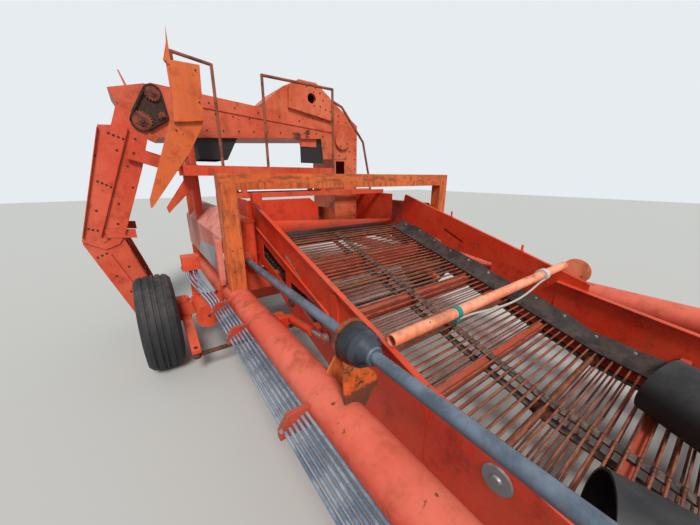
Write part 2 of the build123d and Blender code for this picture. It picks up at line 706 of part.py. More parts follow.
rod_line = belt_line.wires()[0]
rod_count = int(rod_line.length / ROD_PITCH)
rods = []
for i in range(rod_count):
    spot, run = rod_line.position_at(i / rod_count), rod_line.tangent_at(i / rod_count)
    place = Plane(
        origin=(MID_X - ROD_HALF, spot.X - run.Y * (ROD_D / 2 + 0.1), spot.Y + run.X * (ROD_D / 2 + 0.1)),
        x_dir=(0, run.X, run.Y), z_dir=(1, 0, 0),
    )
    rods.append(extrude(place * RegularPolygon(ROD_D / 2, 6, major_radius=False), amount=2 * ROD_HALF))
with BuildPart() as web_rods:
    add(rods)
save(web_rods, "web_rods")

# Shafts across, each with a wheel under every belt; the rearmost is the drive shaft
roller_spots = [nose, head]
for y in ROLLER_YS:
    run, down = (rear_dir, rear_down) if y >= WEB_BEND_Y else (front_dir, front_down)
    roller_spots.append(Vector(y, height(web_top(y) - ROD_D)) + down * (WEB_DEPTH / 2))
roller_spots.append(belt_bend + bend_down * (WEB_DEPTH / 2))
with BuildPart() as web_rollers:
    for spot in roller_spots:
        end_x = HEAD_SHAFT_X if spot is head else WEB_LEFT_X + PLATE_T + SEAT
        with BuildSketch(facing_side(end_x)):
            with Locations((spot.X, spot.Y)):
                Circle(SHAFT_D / 2)
        extrude(amount=2 * (MID_X - end_x))
        for x in (MID_X - BELT_OUT, MID_X, MID_X + BELT_OUT):
            with BuildSketch(facing_side(x - BELT_W / 2 + 5)):
                with Locations((spot.X, spot.Y)):
                    Circle(ROLLER_R - SEAT)
            extrude(amount=BELT_W - 10)
save(web_rollers, "web_rollers")

# Side plates: the rear pair stands outside the front pair, each with a folded flange along its top
plate_low_h = SIDE_TUBE_H + SIDE_TUBE_D / 2 + SEAT + BEAM + PLATE_OVER_BEAM
rear_plate_outline = [
    (REAR_PLATE_FRONT_Y, height(REAR_PLATE_FRONT_TOP_H)),
    (REAR_PLATE_REAR_Y, height(rear_plate_top(REAR_PLATE_REAR_Y))),
    (REAR_PLATE_REAR_Y + 44, height(rear_plate_top(REAR_PLATE_REAR_Y) - RIB_BELOW)),
    (head.X + 70, head.Y + 50),
    (head.X + 70, head.Y - 60),
    (head.X - 40, height(plate_low_h)),
    (BEAM_YS[0] - BEAM / 2 - 40, height(plate_low_h)),
    (REAR_HOLE_Y, height(web_top(REAR_HOLE_Y) - PLATE_BELOW)),
    (REAR_PLATE_FRONT_Y, height(web_top(REAR_PLATE_FRONT_Y) - PLATE_BELOW)),
]
front_plate_outline = [
    (FRONT_PLATE_REAR_Y, height(FRONT_PLATE_REAR_TOP_H)),
    (FRONT_PLATE_REAR_Y, height(web_top(FRONT_PLATE_REAR_Y) - PLATE_BELOW)),
    (WEB_BEND_Y, height(WEB_BEND_H - PLATE_BELOW)),
    (SHOE_Y + 260, height(SHOE_H)),
    (SHOE_Y, height(SHOE_H)),
    (SHOE_Y - 10, height(SHOE_H + 150)),
    (SHOE_Y + 260, height(front_plate_top(SHOE_Y + 260))),
]
with BuildPart() as rear_plates:
    for side, wall_x in ((LEFT, WEB_LEFT_X), (RIGHT, WEB_RIGHT_X)):
        with BuildSketch(facing_side(wall_x)):
            with BuildLine():
                Polyline(*rear_plate_outline, close=True)
            make_face()
        extrude(amount=side * PLATE_T)
        with BuildSketch(facing_side(wall_x + side * PLATE_T)):
            with BuildLine():
                Polyline(
                    rear_plate_outline[0], rear_plate_outline[1],
                    Vector(*rear_plate_outline[1]) - Vector(0, FLANGE_T), Vector(*rear_plate_outline[0]) - Vector(0, FLANGE_T),
                    close=True,
                )
            make_face()
        extrude(amount=side * REAR_FLANGE)
        rib = [(y, height(rear_plate_top(y) - RIB_BELOW)) for y in (RIB_FRONT_Y, REAR_PLATE_REAR_Y)]
        with BuildSketch(facing_side(wall_x + side * PLATE_T)):
            polygon([rib[0], rib[1], (rib[1][0], rib[1][1] - FLANGE_T), (rib[0][0], rib[0][1] - FLANGE_T)])
        extrude(amount=side * RIB_OUT)
    slot_y, slot_h, slot_long, slot_wide = PLATE_SLOT
    with BuildSketch(facing_side(WEB_LEFT_X - PLATE_T - 1)):
        with Locations((head.X, head.Y)):
            Circle(SHAFT_D / 2 + SEAT)
        with Locations(Location((slot_y, height(slot_h), 0), (0, 0, degrees(atan2(SLOT_SLOPE, 1))))):
            SlotOverall(slot_long, slot_wide)
        for corners in PLATE_HOLES:
            polygon([(y, height(h)) for y, h in corners])
    extrude(amount=WEB_RIGHT_X - WEB_LEFT_X + 2 * PLATE_T + 2, mode=Mode.SUBTRACT)
save(rear_plates, "web_rear_plates")

with BuildPart() as front_plates:
    for side, wall_x in ((LEFT, WEB_LEFT_X), (RIGHT, WEB_RIGHT_X)):
        with BuildSketch(facing_side(wall_x)):
            with BuildLine():
                Polyline(*front_plate_outline, close=True)
            make_face()
        extrude(amount=-side * PLATE_T)
        with BuildSketch(facing_side(wall_x - side * PLATE_T)):
            with BuildLine():
                Polyline(
                    front_plate_outline[0], front_plate_outline[-1],
                    Vector(*front_plate_outline[-1]) - Vector(0, FLANGE_T), Vector(*front_plate_outline[0]) - Vector(0, FLANGE_T),
                    close=True,
                )
            make_face()
        extrude(amount=-side * FRONT_FLANGE)
    for side, wall_x, spot in ((LEFT, WEB_LEFT_X, DRUM_SPOTS[0]), (RIGHT, WEB_RIGHT_X, DRUM_SPOTS[1])):
        drum_end = drum_plane(side, spot)
        for back in STRAP_BACK:
            centre = drum_end.origin + drum_end.z_dir * back
            with BuildSketch(facing_side(wall_x - side * PLATE_T)):
                with Locations((centre.Y, centre.Z)):
                    Rectangle(STRAP_W, STRAP_T)
            extrude(amount=-side * (abs(centre.X - wall_x) - PLATE_T))
        with BuildSketch(drum_end.offset(-100)):
            Circle(DRUM_R + SEAT)
        extrude(amount=DRUM_LONG + 200, mode=Mode.SUBTRACT)
save(front_plates, "web_front_plates")

# Red members under the top run tie the two side plates together
with BuildPart() as web_cross_members:
    for y in MEMBER_YS:
        run, down = (rear_dir, rear_down) if y >= WEB_BEND_Y else (front_dir, front_down)
        wall = PLATE_T if y < FRONT_PLATE_REAR_Y + MEMBER_W else 0
        centre = Vector(y, height(web_top(y) - ROD_D)) + down * (WEB_DEPTH / 2)
        left = WEB_LEFT_X + wall + SEAT
        with BuildSketch(Plane(origin=(left, centre.X, centre.Y), x_dir=(0, run.X, run.Y), z_dir=(1, 0, 0))):
            Rectangle(MEMBER_W, MEMBER_DEEP)
        extrude(amount=2 * (MID_X - left))
save(web_cross_members, "web_cross_members")

# Rubber flaps: strips that slope from the side plates down to the rods
with BuildPart() as flaps:
    for side, wall_x in ((LEFT, WEB_LEFT_X), (RIGHT, WEB_RIGHT_X)):
        inner_x = MID_X + side * FLAP_INNER
        for y0, y1 in ((FLAP_FRONT_Y, WEB_BEND_Y), (WEB_BEND_Y, FLAP_REAR_Y)):
            for y in (y0, y1):
                with BuildSketch(facing_front(y)):
                    edge = wall_x - side * (PLATE_T + SEAT)
                    low, high = height(web_top(y) + 4), height(web_top(y) + FLAP_RISE)
                    with BuildLine():
                        Polyline((inner_x, low), (edge, high), (edge, high + FLAP_T), (inner_x, low + FLAP_T), close=True)
                    make_face()
            loft(ruled=True)
save(flaps, "web_flaps")

# Round bar across the web's side plates, and the disc-shaped bracket at its far end
bar_h = rear_plate_top(BAR_Y) + BAR_D / 2 / cos(atan2(REAR_SLOPE, 1)) + SEAT
with BuildPart() as web_crossbar:
    with BuildSketch(facing_side(WEB_LEFT_X - PLATE_T - BAR_SHORT)):
        with Locations((BAR_Y, height(bar_h))):
            Circle(BAR_D / 2)
            Circle(BAR_D / 2 - 5, mode=Mode.SUBTRACT)
    extrude(amount=WEB_RIGHT_X - WEB_LEFT_X + 2 * PLATE_T + BAR_SHORT + BAR_BEYOND)
    with BuildSketch(facing_side(WEB_RIGHT_X + PLATE_T + BAR_BEYOND + SEAT)):
        with Locations((BAR_Y - DISC_BACK, height(bar_h - DISC_DROP))):
            Circle(DISC_R)
    extrude(amount=8)
    with BuildSketch(facing_side(WEB_RIGHT_X + PLATE_T)):
        with Locations((BAR_Y - DISC_BACK, height(rear_plate_top(BAR_Y - DISC_BACK) - 60))):
            Rectangle(110, 10)
    extrude(amount=BAR_BEYOND + SEAT)
    for (x0, x1), thick in ((BAR_STRAP_X, BAR_STRAP_T), (KNOT_X, ROPE_D)):
        with BuildSketch(facing_side(x0)):
            with Locations((BAR_Y, height(bar_h))):
                Circle(BAR_D / 2 + thick)
                Circle(BAR_D / 2 - 1, mode=Mode.SUBTRACT)
        extrude(amount=x1 - x0)
    with BuildSketch(facing_side(BAR_STRAP_X[0])):
        with Locations((BAR_Y - ROPE_ROUTE[0][1], height(bar_h - ROPE_ROUTE[0][2]))):
            Circle(STRAP_LOBE_R)
        with Locations((BAR_Y, height(bar_h))):
            Circle(BAR_D / 2 - 1, mode=Mode.SUBTRACT)
    extrude(amount=BAR_STRAP_X[1] - BAR_STRAP_X[0])
save(web_crossbar, "web_crossbar")

# Slack rope from the strap to the knot
rope_points = [Vector(x, BAR_Y - ahead, height(bar_h - below)) for x, ahead, below in ROPE_ROUTE]
rope_points[0] += Vector(SEAT, 0, 0)
rope_points[-1] -= Vector(SEAT, 0, 0)
rope_runs = [b - a for a, b in zip(rope_points[:-1], rope_points[1:])]
rope_radii = [
    0.45 * min(a.length, b.length) / tan(radians(a.get_angle(b) / 2)) for a, b in zip(rope_runs[:-1], rope_runs[1:])
]
print("rope radii", [round(radius) for radius in rope_radii])
with BuildPart() as web_rope:
    with BuildLine() as rope_line:
        FilletPolyline(*rope_points, radius=rope_radii)
    with BuildSketch(Plane(origin=rope_points[0], z_dir=rope_runs[0])):
        Circle(ROPE_D / 2)
    rope_path = rope_line.wires()[0]
    sweep(path=rope_path)
print("rope length", round(rope_path.length), "volume / section", round(web_rope.part.volume / (pi * ROPE_D**2 / 4)))
save(web_rope, "web_rope")

# Square bar that turns ahead of the web and loosens the crop
with BuildPart() as pickup_bar:
    with BuildSketch(facing_side(WEB_LEFT_X + PLATE_T + 6)):
        with Locations((SHOE_Y + 40, height(SHOE_H + 45))):
            Rectangle(PICKUP_BAR, PICKUP_BAR)
    extrude(amount=WEB_RIGHT_X - WEB_LEFT_X - 2 * PLATE_T - 12)
    with BuildSketch(facing_side(WEB_LEFT_X + PLATE_T + SEAT)):
        with Locations((SHOE_Y + 40, height(SHOE_H + 45))):
            Circle(11)
    extrude(amount=WEB_RIGHT_X - WEB_LEFT_X - 2 * (PLATE_T + SEAT))
save(pickup_bar, "pickup_bar")

# Drive line: the turning shaft, its plastic guard tubes, twin bells and their bearing bracket
pto_z = height(PTO_H)
with BuildPart() as pto_shaft:
    with BuildSketch(facing_front(PTO_FRONT_Y - PTO_STUB)):
        with Locations((0, pto_z)):
            Circle(PTO_STUB_D / 2)
    extrude(amount=-PTO_STUB)
    with BuildSketch(facing_front(PTO_FRONT_Y)):
        with Locations((0, pto_z)):
            Circle(PTO_SHAFT_D / 2)
    extrude(amount=PTO_FRONT_Y - PTO_REAR_Y)
    for y in (PTO_FRONT_Y + 10, BELL_Y, PTO_REAR_Y - 50):
        with BuildSketch(facing_front(y)):
            with Locations((0, pto_z)):
                Circle(PTO_GUARD_BORE / 2 - SEAT)
        extrude(amount=-40)
save(pto_shaft, "pto_shaft")

with BuildPart() as pto_guard:
    with BuildSketch(facing_front(PTO_FRONT_Y)):
        with Locations((0, pto_z)):
            Circle(PTO_GUARD_D / 2)
            Circle(PTO_GUARD_BORE / 2, mode=Mode.SUBTRACT)
    extrude(amount=PTO_FRONT_Y - PTO_REAR_Y)
    with BuildSketch(Plane.YZ):
        with BuildLine():
            Polyline(
                (BELL_Y - BELL_LONG, pto_z + PTO_GUARD_BORE / 2), (BELL_Y - BELL_LONG, pto_z + 40),
                (BELL_Y - 52, pto_z + 62), (BELL_Y - 40, pto_z + BELL_D / 2 - 8), (BELL_Y - 8, pto_z + BELL_D / 2),
                (BELL_Y - 4, pto_z + BELL_D / 2 - 10), (BELL_Y + 4, pto_z + BELL_D / 2 - 10),
                (BELL_Y + 8, pto_z + BELL_D / 2), (BELL_Y + 40, pto_z + BELL_D / 2 - 8), (BELL_Y + 52, pto_z + 62),
                (BELL_Y + BELL_LONG, pto_z + 40), (BELL_Y + BELL_LONG, pto_z + PTO_GUARD_BORE / 2), close=True,
            )
        make_face()
    revolve(axis=Axis((0, 0, pto_z), (0, 1, 0)))
save(pto_guard, "pto_guard")

# Orange brackets stand on the frame and carry the bearings of the drive line
with BuildPart() as pto_brackets:
    with BuildSketch(facing_front(BELL_Y + BRACKET_BACK)):
        with BuildLine():
            Polyline(
                (TUBE_LEFT_X - 10, height(TUBE_H + 40)), (TUBE_LEFT_X + 96, height(TUBE_H + 10)),
                (46, pto_z - 62), (46, pto_z + 30), (-46, pto_z + 30), (-66, pto_z - 60), close=True,
            )
        make_face()
    extrude(amount=-BRACKET_T)
    with BuildSketch(facing_front(CROSS_Y + BRACKET_T / 2)):
        with BuildLine():
            Polyline(
                (-90, height(TUBE_H + 40)), (90, height(TUBE_H + 40)), (50, pto_z + 45), (-50, pto_z + 45), close=True,
            )
        make_face()
    extrude(amount=BRACKET_T)
    with BuildSketch(facing_front(CROSS_Y - 400)):
        with Locations((0, pto_z)):
            Circle(PTO_GUARD_D / 2 + SEAT)
    extrude(amount=-4000, mode=Mode.SUBTRACT)
    with BuildSketch(facing_front(CROSS_Y)):
        with Locations((TUBE_LEFT_X, height(TUBE_H))):
            Circle(TUBE_D / 2 + SEAT)
    extrude(amount=-4000, mode=Mode.SUBTRACT)
    with BuildSketch(facing_side(-300)):
        with Locations((CROSS_Y, height(TUBE_H))):
            Circle(TUBE_D / 2 + SEAT)
    extrude(amount=600, mode=Mode.SUBTRACT)
save(pto_brackets, "pto_brackets")

# Drive housing on the front cross beam, its flanged lid and the cone that takes the shaft
with BuildPart() as drive_housing:
    with BuildSketch(Plane.XY.offset(height(beam_low + BEAM + SEAT))):
        with Locations((HOUSING_X, PTO_REAR_Y + HOUSING_LONG / 2 + CONE_LONG)):
            RectangleRounded(HOUSING_W, HOUSING_LONG, 40)
    extrude(amount=HOUSING_TOP_H - beam_low - BEAM - SEAT)
    with BuildSketch(Plane.XY.offset(height(HOUSING_TOP_H))):
        with Locations((HOUSING_X, PTO_REAR_Y + HOUSING_LONG / 2 + CONE_LONG)):
            RectangleRounded(HOUSING_W + 16, HOUSING_LONG + 16, 44)
    extrude(amount=16)
    with BuildSketch(facing_side(HOUSING_X)):
        with Locations((head.X, head.Y)):
            Circle(SHAFT_D / 2 + SEAT)
    extrude(amount=HOUSING_W, mode=Mode.SUBTRACT)
    with BuildSketch(Plane.YZ):
        with BuildLine():
            Polyline(
                (PTO_REAR_Y + SEAT, pto_z + 26), (PTO_REAR_Y + SEAT, pto_z + 40), (PTO_REAR_Y + CONE_LONG, pto_z + 78),
                (PTO_REAR_Y + CONE_LONG, pto_z + 26), close=True,
            )
        make_face()
    revolve(axis=Axis((0, 0, pto_z), (0, 1, 0)))
save(drive_housing, "drive_housing")

# Galvanised hydraulic pipes beside the left tube, in three clamps
with BuildPart() as hydraulic_pipes:
    for i in range(PIPE_COUNT):
        with BuildSketch(facing_front(PIPE_FRONT_Y)):
            with Locations((TUBE_LEFT_X - TUBE_D / 2 - PIPE_CLEAR - i * PIPE_PITCH, height(PIPE_H - i * PIPE_STEP))):
                Circle(PIPE_D / 2)
        extrude(amount=PIPE_FRONT_Y - PIPE_REAR_Y)
save(hydraulic_pipes, "hydraulic_pipes")

pipe_run = (PIPE_COUNT - 1) * PIPE_PITCH
pipe_fall = (PIPE_COUNT - 1) * PIPE_STEP
with BuildPart() as pipe_clamps:
    for y in CLAMP_YS:
        with BuildSketch(facing_front(y)):
            with BuildLine():
                right = TUBE_LEFT_X - 60
                left = TUBE_LEFT_X - TUBE_D / 2 - PIPE_CLEAR - pipe_run - 22
                Polyline(
                    (right, height(PIPE_H + 22)), (left + 40, height(PIPE_H + 22)), (left, height(PIPE_H - pipe_fall + 6)),
                    (left, height(PIPE_H - pipe_fall - 30)), (right, height(PIPE_H - pipe_fall - 30)), close=True,
                )
            make_face()
            for i in range(PIPE_COUNT):
                with Locations((TUBE_LEFT_X - TUBE_D / 2 - PIPE_CLEAR - i * PIPE_PITCH, height(PIPE_H - i * PIPE_STEP))):
                    Circle(PIPE_D / 2 + SEAT, mode=Mode.SUBTRACT)
            with Locations((TUBE_LEFT_X, height(TUBE_H))):
                Circle(TUBE_D / 2 + SEAT, mode=Mode.SUBTRACT)
        extrude(amount=-CLAMP_W)
save(pipe_clamps, "pipe_clamps")


def upper_edge(x, ends, above=0):
    """The Z at x of a line along the upper conveyor, given by its heights at the conveyor's two ends."""
    share = (x - UPPER_X[0]) / (UPPER_X[1] - UPPER_X[0])
    return height(ends[0] + share * (ends[1] - ends[0]) + above)


def upper_strip(x0, x1, ends, tall):
    """Four corners of a strip that lies along the upper conveyor."""
    return [
        (x0, upper_edge(x0, ends)), (x1, upper_edge(x1, ends)), (x1, upper_edge(x1, ends, tall)),
        (x0, upper_edge(x0, ends, tall)),
    ]


def loop_outline(a, b, deep):
    """An endless belt's outline round two rollers at a and b, each given as X and height."""
    a, b = Vector(a[0], height(a[1])), Vector(b[0], height(b[1]))
    run = b - a
    turn = degrees(atan2(run.Y, run.X))
    with Locations(Location(((a.X + b.X) / 2, (a.Y + b.Y) / 2, 0), (0, 0, turn))):
        SlotOverall(run.length + deep, deep)
        SlotOverall(run.length + deep - 2 * LOOP_T, deep - 2 * LOOP_T, mode=Mode.SUBTRACT)


# Rails along both sides on top of the cross beams, and the uprights of the upper conveyor's left end
beam_top = beam_low + BEAM
rail_top = beam_top + SEAT + RAIL_BOX
cover_left = MID_X - COVER_OUT
with BuildPart() as rear_rails:
    for side in (LEFT, RIGHT):
        x = MID_X + side * (COVER_OUT - SHEET - SEAT - RAIL_BOX / 2)
        with BuildSketch(facing_front(BEAM_YS[0] - BEAM / 2)):
            with Locations((x, height(beam_top + SEAT + RAIL_BOX / 2))):
                Rectangle(RAIL_BOX, RAIL_BOX)
                Rectangle(RAIL_BOX - 10, RAIL_BOX - 10, mode=Mode.SUBTRACT)
        extrude(amount=BEAM_YS[0] - BEAM_YS[1] - BEAM)
    leg_low = height(rail_top)
    for y in LEG_Y:
        with BuildSketch(facing_front(y)):
            polygon(
                [
                    (LEG_X[0], leg_low), (LEG_X[1], leg_low),
                    (LEG_X[1], upper_edge(LEG_X[1], UPPER_LOW_H, -SEAT)), (LEG_X[0], upper_edge(LEG_X[0], UPPER_LOW_H, -SEAT)),
                ]
            )
        extrude(amount=LEG_X[0] - LEG_X[1])
    with BuildSketch(facing_front(LEG_Y[0] - PLATE)):
        polygon(front_points(REAR_ARM))
    extrude(amount=-PLATE)
save(rear_rails, "rear_rails")

# Side covers of the rear body, folded inwards along their tops
cover_low = height(beam_top + SEAT)
with BuildPart() as rear_covers:
    for side in (LEFT, RIGHT):
        with BuildSketch(facing_front(COVER_FRONT_Y)):
            with Locations((MID_X + side * COVER_OUT, 0)):
                polygon(
                    [
                        (0, cover_low), (0, height(COVER_FOLD_H)), (-side * COVER_IN, height(COVER_TOP_H)),
                        (-side * (COVER_IN + COVER_LIP), height(COVER_TOP_H)),
                        (-side * (COVER_IN + COVER_LIP), height(COVER_TOP_H - SHEET)),
                        (-side * COVER_IN, height(COVER_TOP_H - SHEET)),
                        (-side * SHEET, height(COVER_FOLD_H - 2)), (-side * SHEET, cover_low),
                    ]
                )
        extrude(amount=COVER_FRONT_Y - COVER_REAR_Y)
        post_low, post_high = height(COVER_POST_H[0]), height(COVER_POST_H[1])
        with BuildSketch(facing_front(COVER_FRONT_Y)):
            with Locations((MID_X + side * (COVER_OUT + COVER_POST / 2), (post_low + post_high) / 2)):
                Rectangle(COVER_POST, post_high - post_low)
        extrude(amount=-COVER_POST)
    for y in LEG_Y:
        with BuildSketch(Plane.XY.offset(height(COVER_FOLD_H - 40))):
            with Locations(((LEG_X[0] + LEG_X[1]) / 2, y + (LEG_X[1] - LEG_X[0]) / 2)):
                Rectangle(LEG_X[1] - LEG_X[0] + 6, LEG_X[1] - LEG_X[0] + 6)
        extrude(amount=300, mode=Mode.SUBTRACT)
save(rear_covers, "rear_covers")

# Hopper behind the web: its side walls, the sheet that the crop slides off, a board and a post on it
with BuildPart() as hopper_walls:
    foot = height(beam_top + SEAT)
    for x in (WEB_LEFT_X - PLATE_T, WEB_RIGHT_X):
        with BuildSketch(facing_side(x)):
            polygon(
                [
                    (BEAM_YS[0], foot), (HOPPER_REAR_Y, foot), (HOPPER_REAR_Y, height(HOPPER_TOP_H)),
                    (HOPPER_FRONT_Y, height(HOPPER_TOP_H)), (HOPPER_FRONT_Y, foot + HOPPER_FOOT),
                    (BEAM_YS[0], foot + HOPPER_FOOT),
                ]
            )
        extrude(amount=PLATE_T)
    near = [(HEAD_SHEET_Y[0], height(HEAD_SHEET_H[0])), (HEAD_SHEET_Y[1], height(HEAD_SHEET_H[1]))]
    far = [near[0], (HEAD_SHEET_FAR[0], height(HEAD_SHEET_FAR[1]))]
    for x, (low, high) in ((WEB_LEFT_X - 1, near), (WEB_RIGHT_X + 1, far)):
        with BuildSketch(facing_side(x)):
            polygon([low, high, (high[0], high[1] - SHEET), (low[0], low[1] - SHEET)])
    loft(ruled=True)
    with BuildSketch(facing_front(HEAD_SHEET_Y[1])):
        polygon(front_points(HEAD_BOARD))
    extrude(amount=-SHEET)
    with BuildSketch(Plane.XY.offset(height(HEAD_SHEET_H[0] + 40))):
        with Locations(((HEAD_POST_X[0] + HEAD_POST_X[1]) / 2, HEAD_POST_Y)):
            Rectangle(HEAD_POST_X[1] - HEAD_POST_X[0], 80)
    extrude(amount=HEAD_POST_TOP_H - HEAD_SHEET_H[0] - 40)
save(hopper_walls, "hopper_walls")

# Pillow block for the right end of the web's head shaft; the drive housing holds the left end
with BuildPart() as web_pivot_bearing:
    with BuildSketch(facing_side(WEB_RIGHT_X + PLATE_T + 6)):
        with Locations((head.X, head.Y)):
            Circle(62)
        with BuildLine():
            Polyline(
                (BEAM_YS[0] - 65, foot), (BEAM_YS[0] + 70, foot), (head.X + 62, head.Y), (head.X - 62, head.Y), close=True,
            )
        make_face()
        with Locations((head.X, head.Y)):
            Circle(SHAFT_D / 2 + SEAT, mode=Mode.SUBTRACT)
    extrude(amount=50)
save(web_pivot_bearing, "web_pivot_bearing")

# Lift rams of the web, one outside each side plate, pinned to a bracket on the main tube
barrel_pin = Vector(LIFT_BARREL_PIN[0], height(LIFT_BARREL_PIN[1]))
eye = Vector(LIFT_EYE[0], height(LIFT_EYE[1]))
lift_run = (eye - barrel_pin).normalized()


def lift_plane(x):
    """A sketch plane at x whose local x runs along the lift rams from their barrels' pins."""
    return Plane(origin=(x, barrel_pin.X, barrel_pin.Y), x_dir=(0, lift_run.X, lift_run.Y), z_dir=(1, 0, 0))


with BuildPart() as lift_brackets:
    for side in (LEFT, RIGHT):
        x = MID_X + side * LIFT_OUT
        with BuildSketch(facing_side(x + side * 36)):
            with Locations((barrel_pin.X, height(TUBE_H))):
                Rectangle(110, 130)
        extrude(amount=side * 60)
        with BuildSketch(facing_side(x + side * 36)):
            with Locations((barrel_pin.X, barrel_pin.Y)):
                Circle(LIFT_PIN_D / 2)
        extrude(amount=-side * 68)
        with BuildSketch(facing_front(barrel_pin.X - 100)):
            with Locations((MID_X + side * TUBE_SPAN / 2, height(TUBE_H))):
                Circle(TUBE_D / 2 + SEAT)
        extrude(amount=-200, mode=Mode.SUBTRACT)
save(lift_brackets, "lift_brackets")

with BuildPart() as lift_ram_barrels:
    for side in (LEFT, RIGHT):
        x = MID_X + side * LIFT_OUT
        along = Plane(origin=(x, barrel_pin.X, barrel_pin.Y), x_dir=(1, 0, 0), z_dir=(0, lift_run.X, lift_run.Y))
        with BuildSketch(along.offset(24)):
            Circle(LIFT_BARREL_D / 2)
        extrude(amount=LIFT_BARREL_LONG - 24)
        with BuildSketch(facing_side(x - 25)):
            with Locations((barrel_pin.X, barrel_pin.Y)):
                Circle(28)
        extrude(amount=50)
        with BuildSketch(facing_side(x - 30)):
            with Locations((barrel_pin.X, barrel_pin.Y)):
                Circle(LIFT_PIN_D / 2 + SEAT)
        extrude(amount=60, mode=Mode.SUBTRACT)
        with BuildSketch(along.offset(60)):
            Circle(LIFT_ROD_D / 2 + SEAT)
        extrude(amount=LIFT_BARREL_LONG, mode=Mode.SUBTRACT)
save(lift_ram_barrels, "lift_ram_barrels")

with BuildPart() as lift_ram_rods:
    for side in (LEFT, RIGHT):
        x = MID_X + side * LIFT_OUT
        along = Plane(origin=(x, barrel_pin.X, barrel_pin.Y), x_dir=(1, 0, 0), z_dir=(0, lift_run.X, lift_run.Y))
        with BuildSketch(along.offset(LIFT_BARREL_LONG - 200)):
            Circle(LIFT_ROD_D / 2)
        extrude(amount=(eye - barrel_pin).length - LIFT_BARREL_LONG + 200)
        with BuildSketch(facing_side(x - 14)):
            with Locations((eye.X, eye.Y)):
                Circle(27)
        extrude(amount=28)
        with BuildSketch(facing_side(x - 20)):
            with Locations((eye.X, eye.Y)):
                Circle(LIFT_PIN_D / 2 + LIFT_EYE_PLAY)
        extrude(amount=40, mode=Mode.SUBTRACT)
save(lift_ram_rods, "lift_ram_rods")

with BuildPart() as web_lugs:
    for side, wall_x in ((LEFT, WEB_LEFT_X - PLATE_T - SEAT), (RIGHT, WEB_RIGHT_X + PLATE_T + SEAT)):
        x = MID_X + side * LIFT_OUT
        with BuildSketch(facing_side(wall_x)):
            with Locations(((LUG_Y[0] + LUG_Y[1]) / 2, height((LUG_H[0] + LUG_H[1]) / 2))):
                RectangleRounded(LUG_Y[1] - LUG_Y[0], LUG_H[1] - LUG_H[0], 30)
            with Locations((eye.X, eye.Y)):
                Rectangle(110, 90)
        extrude(amount=side * 12)
        with BuildSketch(facing_side(wall_x)):
            with Locations((eye.X, eye.Y)):
                Rectangle(110, 90)
        extrude(amount=side * (abs(x - wall_x) - 20))
        with BuildSketch(facing_side(wall_x)):
            with Locations((eye.X, eye.Y)):
                Circle(LIFT_PIN_D / 2)
        extrude(amount=side * (abs(x - wall_x) + 22))
save(web_lugs, "web_lugs")

# Guide drums: open black tubes over the web's front end
with BuildPart() as web_deflectors:
    for side, spot in ((LEFT, DRUM_SPOTS[0]), (RIGHT, DRUM_SPOTS[1])):
        with BuildSketch(drum_plane(side, spot)):
            Circle(DRUM_R)
            Circle(DRUM_R - DRUM_T, mode=Mode.SUBTRACT)
        extrude(amount=DRUM_LONG)
        with BuildSketch(drum_plane(side, spot).offset(70)):
            Circle(DRUM_R)
            Circle(DRUM_R - 2 * DRUM_T, mode=Mode.SUBTRACT)
        extrude(amount=30)
save(web_deflectors, "web_deflectors")

# Platform: posts and cross bars on the hopper walls, two channels and a deck sheet
with BuildPart() as platform_frame:
    for y in (DECK_Y[0], DECK_Y[1] - DECK_POST):
        with BuildSketch(facing_side(WEB_LEFT_X - 40)):
            with Locations((y + DECK_POST / 2, height(HOPPER_TOP_H + SEAT + DECK_POST / 2))):
                Rectangle(DECK_POST, DECK_POST)
        extrude(amount=2 * (MID_X - WEB_LEFT_X + 40))
        for x in DECK_POST_X:
            with BuildSketch(Plane.XY.offset(height(HOPPER_TOP_H + SEAT + DECK_POST))):
                with Locations((x, y + DECK_POST / 2)):
                    Rectangle(DECK_POST, DECK_POST)
            extrude(amount=DECK_H - DECK_DEEP - HOPPER_TOP_H - SEAT - DECK_POST)
        with BuildSketch(facing_side(DECK_X[0])):
            with Locations((y + DECK_POST / 2, height(DECK_H - DECK_SHEET - SEAT - (DECK_DEEP - DECK_SHEET - SEAT) / 2))):
                Rectangle(DECK_POST, DECK_DEEP - DECK_SHEET - SEAT)
        extrude(amount=DECK_X[1] - DECK_X[0])
    with BuildSketch(Plane.XY.offset(height(DECK_H - DECK_SHEET - SEAT))):
        with Locations(((DECK_X[0] + DECK_X[1]) / 2, (DECK_Y[0] + DECK_Y[1]) / 2)):
            Rectangle(DECK_X[1] - DECK_X[0], DECK_Y[1] - DECK_Y[0])
    extrude(amount=DECK_SHEET + SEAT)
save(platform_frame, "platform_frame")

deck_top = height(DECK_H + SEAT)
post_x = DECK_X[0] + PANEL_POST
with BuildPart() as platform_rails:
    rail_low, rail_high = deck_top, height(RAIL_TOP_H)
    for x0, x1, h0, h1 in (
        (post_x + SEAT + RAIL_D / 2, LEFT_RAIL_X, RAIL_TOP_H + 40, RAIL_TOP_H),
        (RAIL_X[0], RAIL_X[1], RAIL_TOP_H, RAIL_TOP_H),
    ):
        foot_left, foot_right = (x0, RAIL_Y, rail_low), (x1, RAIL_Y, rail_low)
        top_left, top_right = (x0, RAIL_Y, height(h0)), (x1, RAIL_Y, height(h1))
        add(round_bar(foot_left, top_left, RAIL_D))
        add(round_bar(foot_right, top_right, RAIL_D))
        add(round_bar(top_left, top_right, RAIL_D))
        with Locations(top_left, top_right):
            Sphere(RAIL_D / 2)
    bends = [(x, RAIL_Y, height(h)) for x, h in END_RAIL]
    bends.append((END_RAIL[-1][0], RAIL_Y, height(HOPPER_TOP_H + DECK_POST + 2 * SEAT)))
    for lower, upper in zip(bends[1:], bends[:-1]):
        add(round_bar(lower, upper, RAIL_D))
    with Locations(*bends[1:-1]):
        Sphere(RAIL_D / 2)
